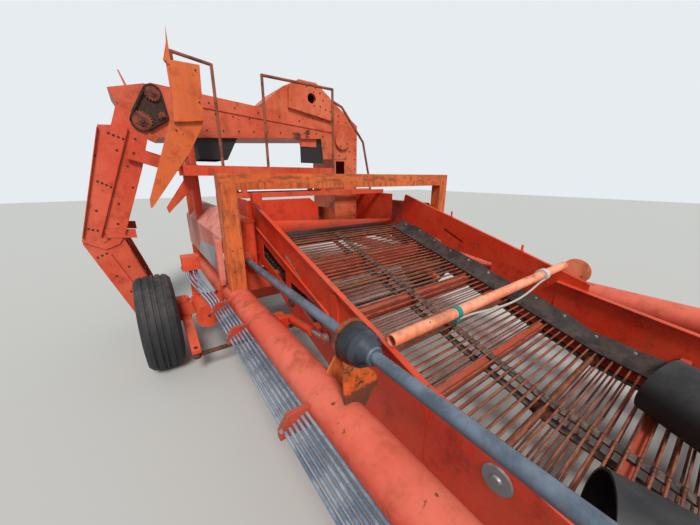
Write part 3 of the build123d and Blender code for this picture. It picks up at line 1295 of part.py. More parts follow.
save(platform_rails, "platform_rails")

# Panel with its post and pointed blade, a folded foot, and the long pointed arm below it
with BuildPart() as rear_panel:
    with BuildSketch(facing_front(PANEL_Y)):
        polygon(front_points(PANEL_POINTS))
        polygon(front_points(ARM_POINTS))
        polygon(front_points(SPIKE))
    extrude(amount=-PANEL_T)
    with BuildSketch(facing_front(PANEL_Y - PANEL_FLANGE)):
        (x0, h0), (x1, h1) = ARM_POINTS[:2]
        polygon(front_points(((x0 + 30, h0), (x1, h1), (x1, h1 - PANEL_T), (x0 + 30, h0 - PANEL_T))))
    extrude(amount=-PANEL_FLANGE - PANEL_T)
    with BuildSketch(facing_front(PANEL_Y + PANEL_T)):
        polygon(
            [
                (DECK_X[0], deck_top), (post_x, deck_top), (PANEL_POINTS[0][0], height(PANEL_POINTS[0][1])),
                (PANEL_POINTS[0][0] - PANEL_POST, height(PANEL_POINTS[0][1])),
            ]
        )
    extrude(amount=-PANEL_POST)
save(rear_panel, "rear_panel")

# Upper cross conveyor: side plates on a floor, with cheeks that carry the boom's pins
with BuildPart() as upper_frame:
    for y in (UPPER_Y[0], UPPER_Y[1] - PLATE):
        with BuildSketch(facing_front(y)):
            polygon(
                [
                    (UPPER_X[1], upper_edge(UPPER_X[1], UPPER_TOP_H)), (UPPER_X[1], upper_edge(UPPER_X[1], UPPER_LOW_H)),
                    (UPPER_X[0], upper_edge(UPPER_X[0], UPPER_LOW_H)), (CHEEK_X, height(BOOM_PIN[1] - 50)),
                    (CHEEK_X, height(BOOM_PIN[1] + 110)), (UPPER_X[0], upper_edge(UPPER_X[0], UPPER_TOP_H)),
                ]
            )
        extrude(amount=-PLATE)
    with BuildSketch(facing_front(UPPER_Y[0] + PLATE)):
        polygon(
            [
                (UPPER_X[0], upper_edge(UPPER_X[0], UPPER_LOW_H)), (TOWER_X, upper_edge(TOWER_X, UPPER_LOW_H)),
                (TOWER_X, upper_edge(TOWER_X, UPPER_LOW_H, PLATE)), (UPPER_X[0], upper_edge(UPPER_X[0], UPPER_LOW_H, PLATE)),
            ]
        )
    extrude(amount=UPPER_Y[0] - UPPER_Y[1] + 2 * PLATE)
    with BuildSketch(facing_front(UPPER_Y[0] - UPPER_LIP)):
        polygon(upper_strip(LEG_X[1], TOWER_PANEL[0][0] - SEAT, UPPER_LOW_H, PLATE))
    extrude(amount=-UPPER_LIP - 1)
    with BuildSketch(facing_front(UPPER_Y[0] - 2 * PLATE)):
        polygon(upper_strip(LEG_X[1], TOWER_X, UPPER_RAIL_H, UPPER_RAIL))
    extrude(amount=-2 * PLATE - 1)
    with BuildSketch(facing_front(UPPER_Y[0] - PLATE)):
        polygon(front_points(HANG_PLATE))
    extrude(amount=-PLATE - 1)
    for y, run in ((UPPER_Y[0], 1), (UPPER_Y[1], -1)):
        with BuildSketch(facing_front(y)):
            with Locations((BOOM_PIN[0], height(BOOM_PIN[1]))):
                Circle(BOOM_PIN_D / 2)
        extrude(amount=run * (BOOM_CLEAR + PLATE + 12 - SEAT))
save(upper_frame, "upper_frame")

# Feed hopper over the boom's head
with BuildPart() as boom_hopper:
    with BuildSketch(facing_front(UPPER_Y[0] + PLATE + SEAT)):
        polygon(front_points(BOOM_HOPPER))
        polygon(front_points(HOPPER_PEG))
    extrude(amount=-PLATE)
    with BuildSketch(facing_front(UPPER_Y[1] - PLATE - SEAT)):
        polygon(front_points(BOOM_HOPPER))
    extrude(amount=PLATE)
    with BuildSketch(facing_front(UPPER_Y[0] + PLATE + SEAT)):
        (x0, h0), (x1, h1) = BOOM_HOPPER[0], BOOM_HOPPER[-1]
        polygon(front_points(((x0, h0), (x1, h1), (x1 + PLATE, h1), (x0 + PLATE, h0))))
    extrude(amount=UPPER_Y[0] - UPPER_Y[1] + 2 * (PLATE + SEAT))
save(boom_hopper, "boom_hopper")

with BuildPart() as elevator_tower:
    with BuildSketch(facing_front(UPPER_Y[0])):
        polygon(
            [
                (TOWER_X, foot), (UPPER_X[1], foot),
                (UPPER_X[1], upper_edge(UPPER_X[1], UPPER_LOW_H, -SEAT)), (TOWER_X, upper_edge(TOWER_X, UPPER_LOW_H, -SEAT)),
            ]
        )
    extrude(amount=UPPER_Y[0] - UPPER_Y[1])
    with BuildSketch(facing_front(UPPER_Y[0] + PLATE)):
        polygon(
            [(TOWER_X + PLATE, foot - 10), (UPPER_X[1] - PLATE, foot - 10), (UPPER_X[1] - PLATE, height(2200)),
             (TOWER_X + PLATE, height(2200))]
        )
    extrude(amount=UPPER_Y[0] - UPPER_Y[1] + 2 * PLATE, mode=Mode.SUBTRACT)
    x0, x1, h0, h1 = TOWER_WINDOW
    with BuildSketch(facing_front(UPPER_Y[0] - 1)):
        polygon(front_points(((x0, h0), (x1, h0), (x1, h1), (x0, h1))))
    extrude(amount=-PLATE - 2, mode=Mode.SUBTRACT)
    with BuildSketch(facing_front(UPPER_Y[0] - PLATE)):
        polygon(front_points(TOWER_PANEL))
    extrude(amount=-PLATE)
    with BuildSketch(facing_front(UPPER_Y[0] - PLATE - TOWER_DISC_T)):
        with Locations((TOWER_DISC[0], height(TOWER_DISC[1]))):
            Circle(TOWER_DISC_R)
    extrude(amount=-TOWER_DISC_T)
    with BuildSketch(facing_side(TOWER_X - 10)):
        with Locations(((UPPER_Y[0] + UPPER_Y[1]) / 2, height(LOW_BELT_TOP_H + 60))):
            Rectangle(UPPER_Y[1] - UPPER_Y[0] - 40, 340)
    extrude(amount=PLATE + 20, mode=Mode.SUBTRACT)
save(elevator_tower, "elevator_tower")

with BuildPart() as drive_hood:
    hood_line = front_points(HOOD_POINTS)
    hood_foot = [
        (HOOD_POINTS[-1][0], upper_edge(HOOD_POINTS[-1][0], UPPER_TOP_H) + SEAT), (HOOD_POINTS[0][0], upper_edge(HOOD_POINTS[0][0], UPPER_TOP_H) + SEAT),
    ]
    with BuildSketch(facing_front(UPPER_Y[0])):
        polygon(hood_line + hood_foot)
    extrude(amount=UPPER_Y[0] - UPPER_Y[1])
    with BuildSketch(facing_front(UPPER_Y[0] + PLATE)):
        polygon(hood_line + hood_foot)
        offset(amount=-PLATE, mode=Mode.REPLACE)
    extrude(amount=UPPER_Y[0] - UPPER_Y[1] + 2 * PLATE, mode=Mode.SUBTRACT)
    with BuildSketch(facing_front(UPPER_Y[0] - HOOD_BOX_DEEP)):
        polygon(front_points(HOOD_BOX))
    extrude(amount=-HOOD_BOX_DEEP)
    with BuildSketch(facing_front(UPPER_Y[0] - HOOD_BOX_DEEP + PLATE)):
        polygon(front_points(HOOD_BOX))
        offset(amount=-PLATE, mode=Mode.REPLACE)
    extrude(amount=-HOOD_BOX_DEEP + PLATE, mode=Mode.SUBTRACT)
    with BuildSketch(facing_front(UPPER_Y[0] - HOOD_BOX_DEEP - 1)):
        with Locations((HOOD_HOLE[0], height(HOOD_HOLE[1]))):
            Circle(HOOD_HOLE_R)
    extrude(amount=-HOOD_BOX_DEEP - 2 * PLATE, mode=Mode.SUBTRACT)
save(drive_hood, "drive_hood")

# Endless belts of the rear body and the upper conveyor, and the rubber chute between them
with BuildPart() as conveyor_belts:
    with BuildSketch(facing_side(WEB_LEFT_X + SEAT)):
        with Locations(((TRANSFER_Y[0] + TRANSFER_Y[1]) / 2, height(TRANSFER_TOP_H - LOOP_DEEP / 2))):
            SlotOverall(TRANSFER_Y[1] - TRANSFER_Y[0], LOOP_DEEP)
            SlotOverall(TRANSFER_Y[1] - TRANSFER_Y[0] - 2 * LOOP_T, LOOP_DEEP - 2 * LOOP_T, mode=Mode.SUBTRACT)
    extrude(amount=WEB_RIGHT_X - WEB_LEFT_X - 2 * SEAT)
    for a, b in (
        ((LOW_BELT_X[0], LOW_BELT_TOP_H), (LOW_BELT_X[1], LOW_BELT_TOP_H)),
        ((UPPER_X[0] + 90, 2200), (TOWER_X - 80, 2240)),
    ):
        with BuildSketch(facing_front(UPPER_Y[0] + PLATE + SEAT)):
            loop_outline(a, b, LOOP_DEEP)
        extrude(amount=UPPER_Y[0] - UPPER_Y[1] + 2 * (PLATE + SEAT))
save(conveyor_belts, "conveyor_belts")

with BuildPart() as rubber_chute:
    with BuildSketch(facing_front(UPPER_Y[0])):
        chute_top = [
            (CHUTE_TOP_X[1], upper_edge(CHUTE_TOP_X[1], UPPER_LOW_H, -SEAT)),
            (CHUTE_TOP_X[0], upper_edge(CHUTE_TOP_X[0], UPPER_LOW_H, -SEAT)),
        ]
        polygon([(CHUTE_LOW_X[0], height(CHUTE_LOW_H)), (CHUTE_LOW_X[1], height(CHUTE_LOW_H))] + chute_top)
    extrude(amount=UPPER_Y[0] - UPPER_Y[1])
    with BuildSketch(facing_front(UPPER_Y[0] + PLATE)):
        polygon(
            [
                (CHUTE_LOW_X[0] + PLATE, height(CHUTE_LOW_H - 10)), (CHUTE_LOW_X[1] - PLATE, height(CHUTE_LOW_H - 10)),
                (CHUTE_TOP_X[1] - PLATE, height(2100)), (CHUTE_TOP_X[0] + PLATE, height(2100)),
            ]
        )
    extrude(amount=UPPER_Y[0] - UPPER_Y[1] + 2 * PLATE, mode=Mode.SUBTRACT)
    with BuildSketch(facing_front(UPPER_Y[0] + PLATE)):
        x0, x1 = CURTAIN_X
        polygon(
            [
                (x0, height(CURTAIN_LOW_H)), (x1, height(CURTAIN_LOW_H)), (x1, upper_edge(x1, UPPER_LOW_H, -SEAT)),
                (x0, upper_edge(x0, UPPER_LOW_H, -SEAT)),
            ]
        )
    extrude(amount=-4 * PLATE)
save(rubber_chute, "rubber_chute")


def loop_rollers(a, b, deep, y0, y1, shaft_y0, shaft_y1, shaft_d):
    """Two rollers inside an endless belt, with shafts through the plates outside it."""
    with BuildPart() as rollers:
        for x, h in (a, b):
            with BuildSketch(facing_front(y0)):
                with Locations((x, height(h))):
                    Circle(deep / 2 - LOOP_T - SEAT)
            extrude(amount=y0 - y1)
            with BuildSketch(facing_front(shaft_y0)):
                with Locations((x, height(h))):
                    Circle(shaft_d / 2)
            extrude(amount=shaft_y0 - shaft_y1)
    return rollers.part


def belt_with_flights(a, b, deep, y0, y1, skip):
    """An endless belt round two rollers, with flights on both of its runs."""
    start, end = Vector(a[0], height(a[1])), Vector(b[0], height(b[1]))
    run = (end - start).normalized()
    turn = degrees(atan2(run.Y, run.X))
    with BuildPart() as belt:
        with BuildSketch(facing_front(y0)):
            loop_outline(a, b, deep)
        extrude(amount=y0 - y1)
        for i in range(int(((end - start).length - skip) / FLIGHT_PITCH) + 1):
            spot = start + run * (skip + i * FLIGHT_PITCH)
            with BuildSketch(facing_front(y0 + 20)):
                for hand in (1, -1):
                    middle = spot + Vector(-run.Y, run.X) * (hand * (deep + FLIGHT_TALL) / 2)
                    with Locations(Location((middle.X, middle.Y, 0), (0, 0, turn))):
                        Rectangle(8, FLIGHT_TALL + 1)
            extrude(amount=y0 - y1 + 40)
    return belt.part


# Boom, upper section: a plate each side, ribbed, with its rollers and endless belt
outer_front = UPPER_Y[0] - BOOM_CLEAR
outer_rear = UPPER_Y[1] + BOOM_CLEAR
inner_front, inner_rear = UPPER_Y[0] + PLATE + BOOM_CLEAR, UPPER_Y[1] - PLATE - BOOM_CLEAR
with BuildPart() as boom_upper:
    for y, out in ((outer_front, 1), (outer_rear, -1)):
        with BuildSketch(facing_front(y)):
            polygon(front_points(BOOM_UPPER))
            with Locations((BOOM_PIN[0], height(BOOM_PIN[1]))):
                Circle(BOOM_PIN_D / 2 + SEAT, mode=Mode.SUBTRACT)
            with Locations((ELBOW_PIN[0], height(ELBOW_PIN[1]))):
                Circle(BOOM_PIN_D / 2 + SEAT, mode=Mode.SUBTRACT)
        extrude(amount=out * PLATE)
        for (x0, h0), (x1, h1) in UPPER_RIBS:
            with BuildSketch(facing_front(y - out * PLATE)):
                polygon(front_points(((x0, h0), (x1, h1), (x1 + PLATE, h1), (x0 + PLATE, h0))))
            extrude(amount=out * RIB)
        with BuildSketch(facing_front(y - out * PLATE)):
            polygon(front_points(HINGE_PLATE))
        extrude(amount=out * PLATE)
    add(loop_rollers(*UPPER_LOOP, BOOM_LOOP_DEEP, inner_front, inner_rear, outer_front, outer_rear, 40))
save(boom_upper, "boom_upper")

with BuildPart() as boom_upper_belt:
    add(belt_with_flights(*UPPER_LOOP, BOOM_LOOP_DEEP, inner_front + 2, inner_rear - 2, 200))
save(boom_upper_belt, "boom_upper_belt")

# Boom, lower section, folded back in at the elbow
with BuildPart() as boom_lower:
    for y, out in ((UPPER_Y[0], -1), (UPPER_Y[1], 1)):
        with BuildSketch(facing_front(y)):
            polygon(front_points(BOOM_LOWER))
        extrude(amount=out * PLATE)
        for (x0, h0), (x1, h1) in LOWER_RIBS:
            with BuildSketch(facing_front(y)):
                polygon(front_points(((x0, h0), (x1, h1), (x1 + PLATE, h1), (x0 + PLATE, h0))))
            extrude(amount=-out * RIB)
    add(loop_rollers(*LOWER_LOOP, BOOM_LOOP_DEEP, inner_front, inner_rear, UPPER_Y[0], UPPER_Y[1], 40))
    with BuildSketch(facing_front(outer_front - PLATE - 8)):
        with Locations((ELBOW_PIN[0], height(ELBOW_PIN[1]))):
            Circle(BOOM_PIN_D / 2)
    extrude(amount=outer_front - outer_rear - 2 * PLATE - 16)
save(boom_lower, "boom_lower")

with BuildPart() as boom_lower_belt:
    add(belt_with_flights(*LOWER_LOOP, BOOM_LOOP_DEEP, inner_front + 2, inner_rear - 2, 200))
save(boom_lower_belt, "boom_lower_belt")

# Chain drive at the boom's head: two sprockets and the chain round them
with BuildPart() as boom_chain_drive:
    for x, h, radius in SPROCKETS:
        with BuildSketch(facing_front(outer_front - PLATE - 12)):
            with Locations((x, height(h))):
                Circle(radius)
        extrude(amount=12)
        with BuildSketch(facing_front(outer_front - PLATE - 24)):
            with Locations((x, height(h))):
                Circle(radius / 2)
        extrude(amount=12)
    (x0, h0, r0), (x1, h1, r1) = SPROCKETS
    gap = outer_front - PLATE - 12 - UPPER_Y[0]
    with BuildSketch(facing_front(outer_front - PLATE - 12)):
        with Locations((x0, height(h0))):
            Circle(25)
    extrude(amount=gap)
save(boom_chain_drive, "boom_chain_drive")

# Strut between the boom and the upright under the platform
lug = Vector(STRUT_LUG[0], height(STRUT_LUG[1]))
strut_eye = Vector(STRUT_EYE[0], height(STRUT_EYE[1]))
strut_run = (strut_eye - lug).normalized()
strut_length = (strut_eye - lug).length


def strut_plane(y):
    """A sketch plane at y whose local x runs along the strut from its lug."""
    return Plane(origin=(lug.X, y, lug.Y), x_dir=(strut_run.X, 0, strut_run.Y), z_dir=(0, -1, 0))


strut_front = STRUT_Y - STRUT_DEEP / 2
tube_front = strut_front + 5 + SEAT
with BuildPart() as strut_lug:
    for y in (tube_front - 8, STRUT_Y + 17 + SEAT + 8):
        with BuildSketch(facing_front(y)):
            with Locations((lug.X, lug.Y)):
                Circle(34)
            polygon([(lug.X, lug.Y - 34), (LEG_X[1], lug.Y - 34), (LEG_X[1], lug.Y + 34), (lug.X, lug.Y + 34)])
        extrude(amount=8 - SEAT)
    with BuildSketch(facing_front(tube_front - 8)):
        polygon([(LEG_X[0], lug.Y - 34), (LEG_X[1], lug.Y - 34), (LEG_X[1], lug.Y + 34), (LEG_X[0], lug.Y + 34)])
    extrude(amount=tube_front - 8 - LEG_Y[0] + SEAT)
    with BuildSketch(facing_front(tube_front - 14)):
        with Locations((lug.X, lug.Y)):
            Circle(12)
    extrude(amount=-62)
save(strut_lug, "strut_lug")

with BuildPart() as strut_tube:
    with BuildSketch(strut_plane(tube_front)):
        with Locations((STRUT_TUBE_LONG / 2, 0)):
            Rectangle(STRUT_TUBE_LONG + 68, 60)
        Circle(12 + SEAT, mode=Mode.SUBTRACT)
    extrude(amount=tube_front - STRUT_Y - 17)
save(strut_tube, "strut_tube")

with BuildPart() as strut_channel:
    with BuildSketch(strut_plane(strut_front)):
        with Locations((strut_length - STRUT_LONG / 2 + 20, 0)):
            Rectangle(STRUT_LONG + 40, STRUT_WIDE)
        with Locations((strut_length, 0)):
            Circle(14, mode=Mode.SUBTRACT)
    extrude(amount=-5)
    for hand in (1, -1):
        with BuildSketch(strut_plane(strut_front)):
            with Locations((strut_length - STRUT_LONG / 2 + 20, hand * (STRUT_WIDE / 2 - 3))):
                Rectangle(STRUT_LONG + 40, 6)
        extrude(amount=-STRUT_DEEP)
save(strut_channel, "strut_channel")
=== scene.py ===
import math

import bmesh
import bpy
from mathutils import Matrix, Vector
from mathutils.bvhtree import BVHTree


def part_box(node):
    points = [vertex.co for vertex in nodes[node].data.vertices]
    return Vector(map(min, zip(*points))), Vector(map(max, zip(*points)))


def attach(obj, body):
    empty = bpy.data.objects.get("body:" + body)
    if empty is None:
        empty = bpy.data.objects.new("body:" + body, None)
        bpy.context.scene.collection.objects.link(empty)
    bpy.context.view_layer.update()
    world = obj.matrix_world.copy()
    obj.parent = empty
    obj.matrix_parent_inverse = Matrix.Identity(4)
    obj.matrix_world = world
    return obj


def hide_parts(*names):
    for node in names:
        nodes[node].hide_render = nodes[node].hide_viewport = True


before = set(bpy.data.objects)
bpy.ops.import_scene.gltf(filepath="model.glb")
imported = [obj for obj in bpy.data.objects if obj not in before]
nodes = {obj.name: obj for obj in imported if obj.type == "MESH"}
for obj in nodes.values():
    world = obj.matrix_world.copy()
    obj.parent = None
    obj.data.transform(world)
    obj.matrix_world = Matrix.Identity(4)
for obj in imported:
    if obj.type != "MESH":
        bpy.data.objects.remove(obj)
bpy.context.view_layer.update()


# Camera
# It stands at eye height beside the left frame tube, looks a little down and across the web towards
# the rear body, through a very wide lens.
def placed(name, data):
    """A new object of this name, put in the scene."""
    piece = bpy.data.objects.new(name, data)
    bpy.context.scene.collection.objects.link(piece)
    return piece


camera_place = Vector((-0.680, 2.700, 1.233))
camera_pitch = math.radians(16.76)
camera_yaw = math.radians(35.86)
camera_roll = math.radians(-0.18)
level_ahead = Vector((math.sin(camera_yaw), math.cos(camera_yaw), 0))
ahead = level_ahead * math.cos(camera_pitch) - Vector((0, 0, math.sin(camera_pitch)))
level_right = Vector((math.cos(camera_yaw), -math.sin(camera_yaw), 0))
level_up = level_right.cross(ahead)
camera_right = level_right * math.cos(camera_roll) - level_up * math.sin(camera_roll)
camera_up = level_right * math.sin(camera_roll) + level_up * math.cos(camera_roll)
lens = bpy.data.cameras.new("view")
lens.sensor_width = 36
lens.lens = 14.71
lens.clip_start = 0.03
camera = placed("view", lens)
camera_turn = Matrix((camera_right, camera_up, -ahead)).transposed()
camera.matrix_world = Matrix.Translation(camera_place) @ camera_turn.to_4x4()
bpy.context.scene.camera = camera


# Slack rope under the bar
# Off-white laid fibre rope, tied to the bar with a strap at one end and a wound knot at the other; it
# hangs a hand's width below the bar.
def feed(socket, value):
    """Links a socket to another one, or sets it to a plain value."""
    if isinstance(value, bpy.types.NodeSocket):
        socket.id_data.links.new(value, socket)
    else:
        socket.default_value = value


def wire(kind, inputs, output=0, tree=None, **properties):
    """Adds a node with its inputs linked or set, to the tree of its links, and gives one output."""
    if tree is None:
        sockets = [value for value in inputs.values() if isinstance(value, bpy.types.NodeSocket)]
        tree = sockets[0].id_data
    node = tree.nodes.new(kind)
    for name, value in properties.items():
        setattr(node, name, value)
    for key, value in inputs.items():
        feed(node.inputs[key], value)
    return node.outputs[output] if node.outputs else None


def on_object(tree):
    """The place on the object that a pattern reads."""
    return wire("ShaderNodeTexCoord", {}, "Object", tree)


def new_finish(name):
    """An empty finish, with its tree and its shader."""
    finish = bpy.data.materials.new(name)
    finish.use_nodes = True
    return finish, finish.node_tree, finish.node_tree.nodes["Principled BSDF"]


def cover(shader, colour, roughness, height, strength, distance):
    """Gives a shader its colour, roughness and relief."""
    feed(shader.inputs["Base Color"], colour)
    feed(shader.inputs["Roughness"], roughness)
    relief = wire("ShaderNodeBump", {"Height": height, "Strength": strength, "Distance": distance})
    feed(shader.inputs["Normal"], relief)


def mounted(shape, name, body, finish):
    """Makes a shape a piece of one finish that rides on a body."""
    piece = placed(name, shape)
    shape.materials.append(finish)
    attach(piece, body)
    return piece


def smooth_line(lines, route):
    """Adds a smooth open line along a route's points."""
    line = lines.splines.new("NURBS")
    line.points.add(len(route) - 1)
    for point, place in zip(line.points, route):
        point.co = (*place, 1)
    line.order_u = 3
    line.use_endpoint_u = True


rope_bar_y, rope_bar_z = 3.494, 0.5358
rope_route = (
    (0.6123, 0.010, 0.040), (0.690, 0.010, 0.040), (0.830, 0.012, 0.058), (0.980, 0.015, 0.079),
    (1.130, 0.018, 0.092), (1.280, 0.020, 0.093), (1.410, 0.022, 0.077), (1.510, 0.024, 0.051),
    (1.585, 0.027, 0.027), (1.6397, 0.027, 0.027),
)
rope_line = bpy.data.curves.new("slack_rope", "CURVE")
rope_line.dimensions = "3D"
rope_line.bevel_depth = 0.007
rope_line.bevel_resolution = 4
rope_line.resolution_u = 10
rope_line.use_fill_caps = True
rope_points = [(x, rope_bar_y - forward, rope_bar_z - below) for x, forward, below in rope_route]
smooth_line(rope_line, rope_points)
rope_fibre, rope_tree, rope_shader = new_finish("rope_fibre")
rope_turn = wire(
    "ShaderNodeMapping", {"Vector": on_object(rope_tree), "Rotation": (0, math.radians(40), 0)},
)
rope_strands = wire("ShaderNodeTexWave", {"Vector": rope_turn, "Scale": 26, "Distortion": 0.6}, "Fac")
rope_tone = wire("ShaderNodeValToRGB", {"Fac": rope_strands})
rope_tone.node.color_ramp.elements[0].color = (0.30, 0.28, 0.24, 1)
rope_tone.node.color_ramp.elements[1].color = (0.72, 0.70, 0.66, 1)
cover(rope_shader, rope_tone, 0.85, rope_strands, strength=1.0, distance=0.003)
slack_rope = mounted(rope_line, "slack_rope", "web", rope_fibre)
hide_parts("web_rope")

# Light and floor
# An overcast sky from all round, a wide soft lamp from the left and above, and a plain pale floor
# that keeps the machine's shadow.
bpy.context.scene.view_settings.view_transform = "Standard"
ground = -0.450
sky = bpy.data.worlds.new("sky")
bpy.context.scene.world = sky
sky.use_nodes = True
sky_tree = sky.node_tree
sky_tree.nodes.clear()
sky_ray = wire("ShaderNodeLightPath", {}, tree=sky_tree).node.outputs
sky_seen = wire("ShaderNodeMath", {0: sky_ray["Is Glossy Ray"], 1: 0.6}, operation="MULTIPLY")
for ray in ("Is Transmission Ray", "Is Camera Ray"):
    sky_seen = wire("ShaderNodeMath", {0: sky_seen, 1: sky_ray[ray]}, operation="MAXIMUM")
sky_light = wire(
    "ShaderNodeBackground", {"Color": (0.93, 0.96, 1.0, 1), "Strength": 0.52}, tree=sky_tree,
)
sky_pale = wire("ShaderNodeBackground", {"Color": (0.80, 0.84, 0.88, 1)}, tree=sky_tree)
sky_mixed = wire("ShaderNodeMixShader", {"Fac": sky_seen, 1: sky_light, 2: sky_pale})
wire("ShaderNodeOutputWorld", {"Surface": sky_mixed})

lamp_data = bpy.data.lights.new("soft_sun", "SUN")
lamp_data.energy = 2.8
lamp_data.angle = math.radians(16)
lamp_data.color = (1.0, 0.97, 0.93)
lamp = placed("soft_sun", lamp_data)
lamp.rotation_euler = (math.radians(42), math.radians(-20), 0)

floor_reach = 30
floor_sides = ((-1, -1), (1, -1), (1, 1), (-1, 1))
floor_corners = [(x * floor_reach, y * floor_reach, ground) for x, y in floor_sides]
floor_mesh = bpy.data.meshes.new("floor")
floor_mesh.from_pydata(floor_corners, [], [(0, 1, 2, 3)])
floor = placed("floor", floor_mesh)
floor_paint, _, floor_shader = new_finish("pale_floor")
floor_shader.inputs["Base Color"].default_value = (0.52, 0.53, 0.51, 1)
floor_shader.inputs["Roughness"].default_value = 0.9
floor_mesh.materials.append(floor_paint)


# Frame tubes, chassis, axle and wheels' rims
# Thick round and square steel tube and folded plate, welded, primed and painted red. The paint has
# chalked in the sun; rust comes through in pits with orange rings, at edges and in runs.
def opened(tree, way, *sockets):
    """Gives a tree its inputs or outputs: the name, the kind and, where it has one, the value."""
    for label, kind, *start in sockets:
        end = tree.interface.new_socket(name=label, in_out=way, socket_type="NodeSocket" + kind)
        if start:
            end.default_value = start[0]


weathered = bpy.data.node_groups.new("weathered_paint", "ShaderNodeTree")
opened(
    weathered, "INPUT", ("Paint", "Color", (0.55, 0.08, 0.04, 1)),
    ("Faded Paint", "Color", (0.66, 0.17, 0.11, 1)), ("Rust", "Color", (0.16, 0.06, 0.03, 1)),
    ("Rust Amount", "Float", 0.3), ("Edge Wear", "Float", 0.5), ("Fade", "Float", 0.5),
    ("Dirt", "Float", 0.3), ("Scale", "Float", 1.0),
)
opened(weathered, "OUTPUT", ("Color", "Color"), ("Roughness", "Float"), ("Height", "Float"))


def ramp(source, low, high):
    """A smooth step from 0 at low to 1 at high."""
    return wire(
        "ShaderNodeMapRange", {"Value": source, "From Min": low, "From Max": high},
        interpolation_type="SMOOTHSTEP",
    )


def calc(operation, first, second=0.0):
    """A sum held between 0 and 1."""
    return wire("ShaderNodeMath", {0: first, 1: second}, operation=operation, use_clamp=True)


def times(first, second):
    """Two masks or amounts multiplied, held between 0 and 1."""
    return calc("MULTIPLY", first, second)


def blend_colour(amount, below, above, mode="MIX"):
    """One colour laid over another by an amount."""
    return wire("ShaderNodeMix", {0: amount, 6: below, 7: above}, 2, data_type="RGBA", blend_type=mode)


def noise(place, scale, detail, rough=0.55):
    """Clouds of one size, with so many finer sizes in them."""
    return wire(
        "ShaderNodeTexNoise", {"Vector": place, "Scale": scale, "Detail": detail, "Roughness": rough},
    )


# Patterns of several sizes, and where the surface looks up or has an edge
given = wire("NodeGroupInput", {}, tree=weathered).node.outputs
paint_place = on_object(weathered)
scaled = wire("ShaderNodeVectorMath", {0: paint_place, "Scale": given["Scale"]}, operation="SCALE")
stretched = wire("ShaderNodeMapping", {"Vector": scaled, "Scale": (16, 16, 1.5)})
broad = noise(scaled, 1.7, 5, 0.6)
cloudy = noise(scaled, 6.5, 7, 0.68)
fine = noise(scaled, 42, 6, 0.68)
runs = noise(stretched, 1.0, 6, 0.65)
pits = noise(scaled, 13, 10, 0.78)
ripple = wire("ShaderNodeTexNoise", {"Vector": scaled, "Scale": 60}, "Color")
ripple_reach = (0.012, 0.012, 0.012)
warped = wire("ShaderNodeVectorMath", {0: ripple, 1: ripple_reach, 2: scaled}, operation="MULTIPLY_ADD")
outward_way = wire("ShaderNodeNewGeometry", {}, "Normal", weathered)
upward = wire("ShaderNodeSeparateXYZ", {0: outward_way}, 2)
rounded = wire("ShaderNodeBevel", {"Radius": 0.008}, tree=weathered, samples=4)
edge_match = wire("ShaderNodeVectorMath", {0: rounded, 1: outward_way}, "Value", operation="DOT_PRODUCT")
edge = ramp(calc("SUBTRACT", 1.0, edge_match), 0.015, 0.16)

# The paint: chalked where the sky reaches it, darker in clouds, with brown runs
sky_side = ramp(upward, 0.1, 0.95)
fade_mask = times(ramp(broad, 0.38, 0.62), given["Fade"])
fade_lying = times(sky_side, times(given["Fade"], 0.7))
coat = blend_colour(calc("ADD", fade_mask, fade_lying), given["Paint"], given["Faded Paint"])
deep_mask = times(ramp(cloudy, 0.50, 0.66), 0.6)
deep_coat = blend_colour(deep_mask, coat, (0.52, 0.34, 0.26, 1), "MULTIPLY")
mottled = blend_colour(times(ramp(fine, 0.46, 0.70), 0.4), deep_coat, given["Faded Paint"])
run_mask = times(ramp(runs, 0.50, 0.68), times(given["Rust Amount"], 1.2))
stained = blend_colour(times(run_mask, 0.7), mottled, (0.30, 0.075, 0.020, 1))

# The rust: deep pits, round chips of two sizes and worn edges
pit_start = calc("SUBTRACT", 0.70, times(given["Rust Amount"], 0.26))
pit_depth = calc("SUBTRACT", pits, pit_start)
halo = ramp(pit_depth, 0.0, 0.035)
pit_mask = ramp(pit_depth, 0.03, 0.07)
chip_start = calc("SUBTRACT", 0.98, times(given["Rust Amount"], 0.5))
for chips_per_metre, growth in ((30, 1.0), (11, 0.55)):
    cells = wire("ShaderNodeTexVoronoi", {"Vector": warped, "Scale": chips_per_metre}).node.outputs
    chosen = wire("ShaderNodeSeparateColor", {0: cells["Color"]})
    reach = times(calc("SUBTRACT", chosen, chip_start), growth)
    chip = ramp(calc("SUBTRACT", reach, cells["Distance"]), 0.0, 0.03)
    pit_mask = calc("MAXIMUM", pit_mask, chip)
edge_noise = ramp(calc("ADD", times(fine, 0.55), times(pits, 0.5)), 0.46, 0.60)
edge_mask = times(times(edge, given["Edge Wear"]), edge_noise)
ringed = blend_colour(times(halo, 0.75), stained, (0.40, 0.11, 0.025, 1))
bare = calc("MAXIMUM", pit_mask, edge_mask)
rust_tone = blend_colour(ramp(fine, 0.38, 0.66), given["Rust"], (0.30, 0.10, 0.035, 1))
rusted = blend_colour(bare, ringed, rust_tone)
dirt_mask = times(times(sky_side, ramp(cloudy, 0.42, 0.62)), given["Dirt"])
dusty = blend_colour(dirt_mask, rusted, (0.28, 0.14, 0.085, 1))
dulled = wire("ShaderNodeMapRange", {"Value": bare, "To Min": 0.50, "To Max": 0.92})
relief = calc("SUBTRACT", times(fine, 0.3), times(bare, 0.25))
wire("NodeGroupOutput", {"Color": dusty, "Roughness": dulled, "Height": relief})


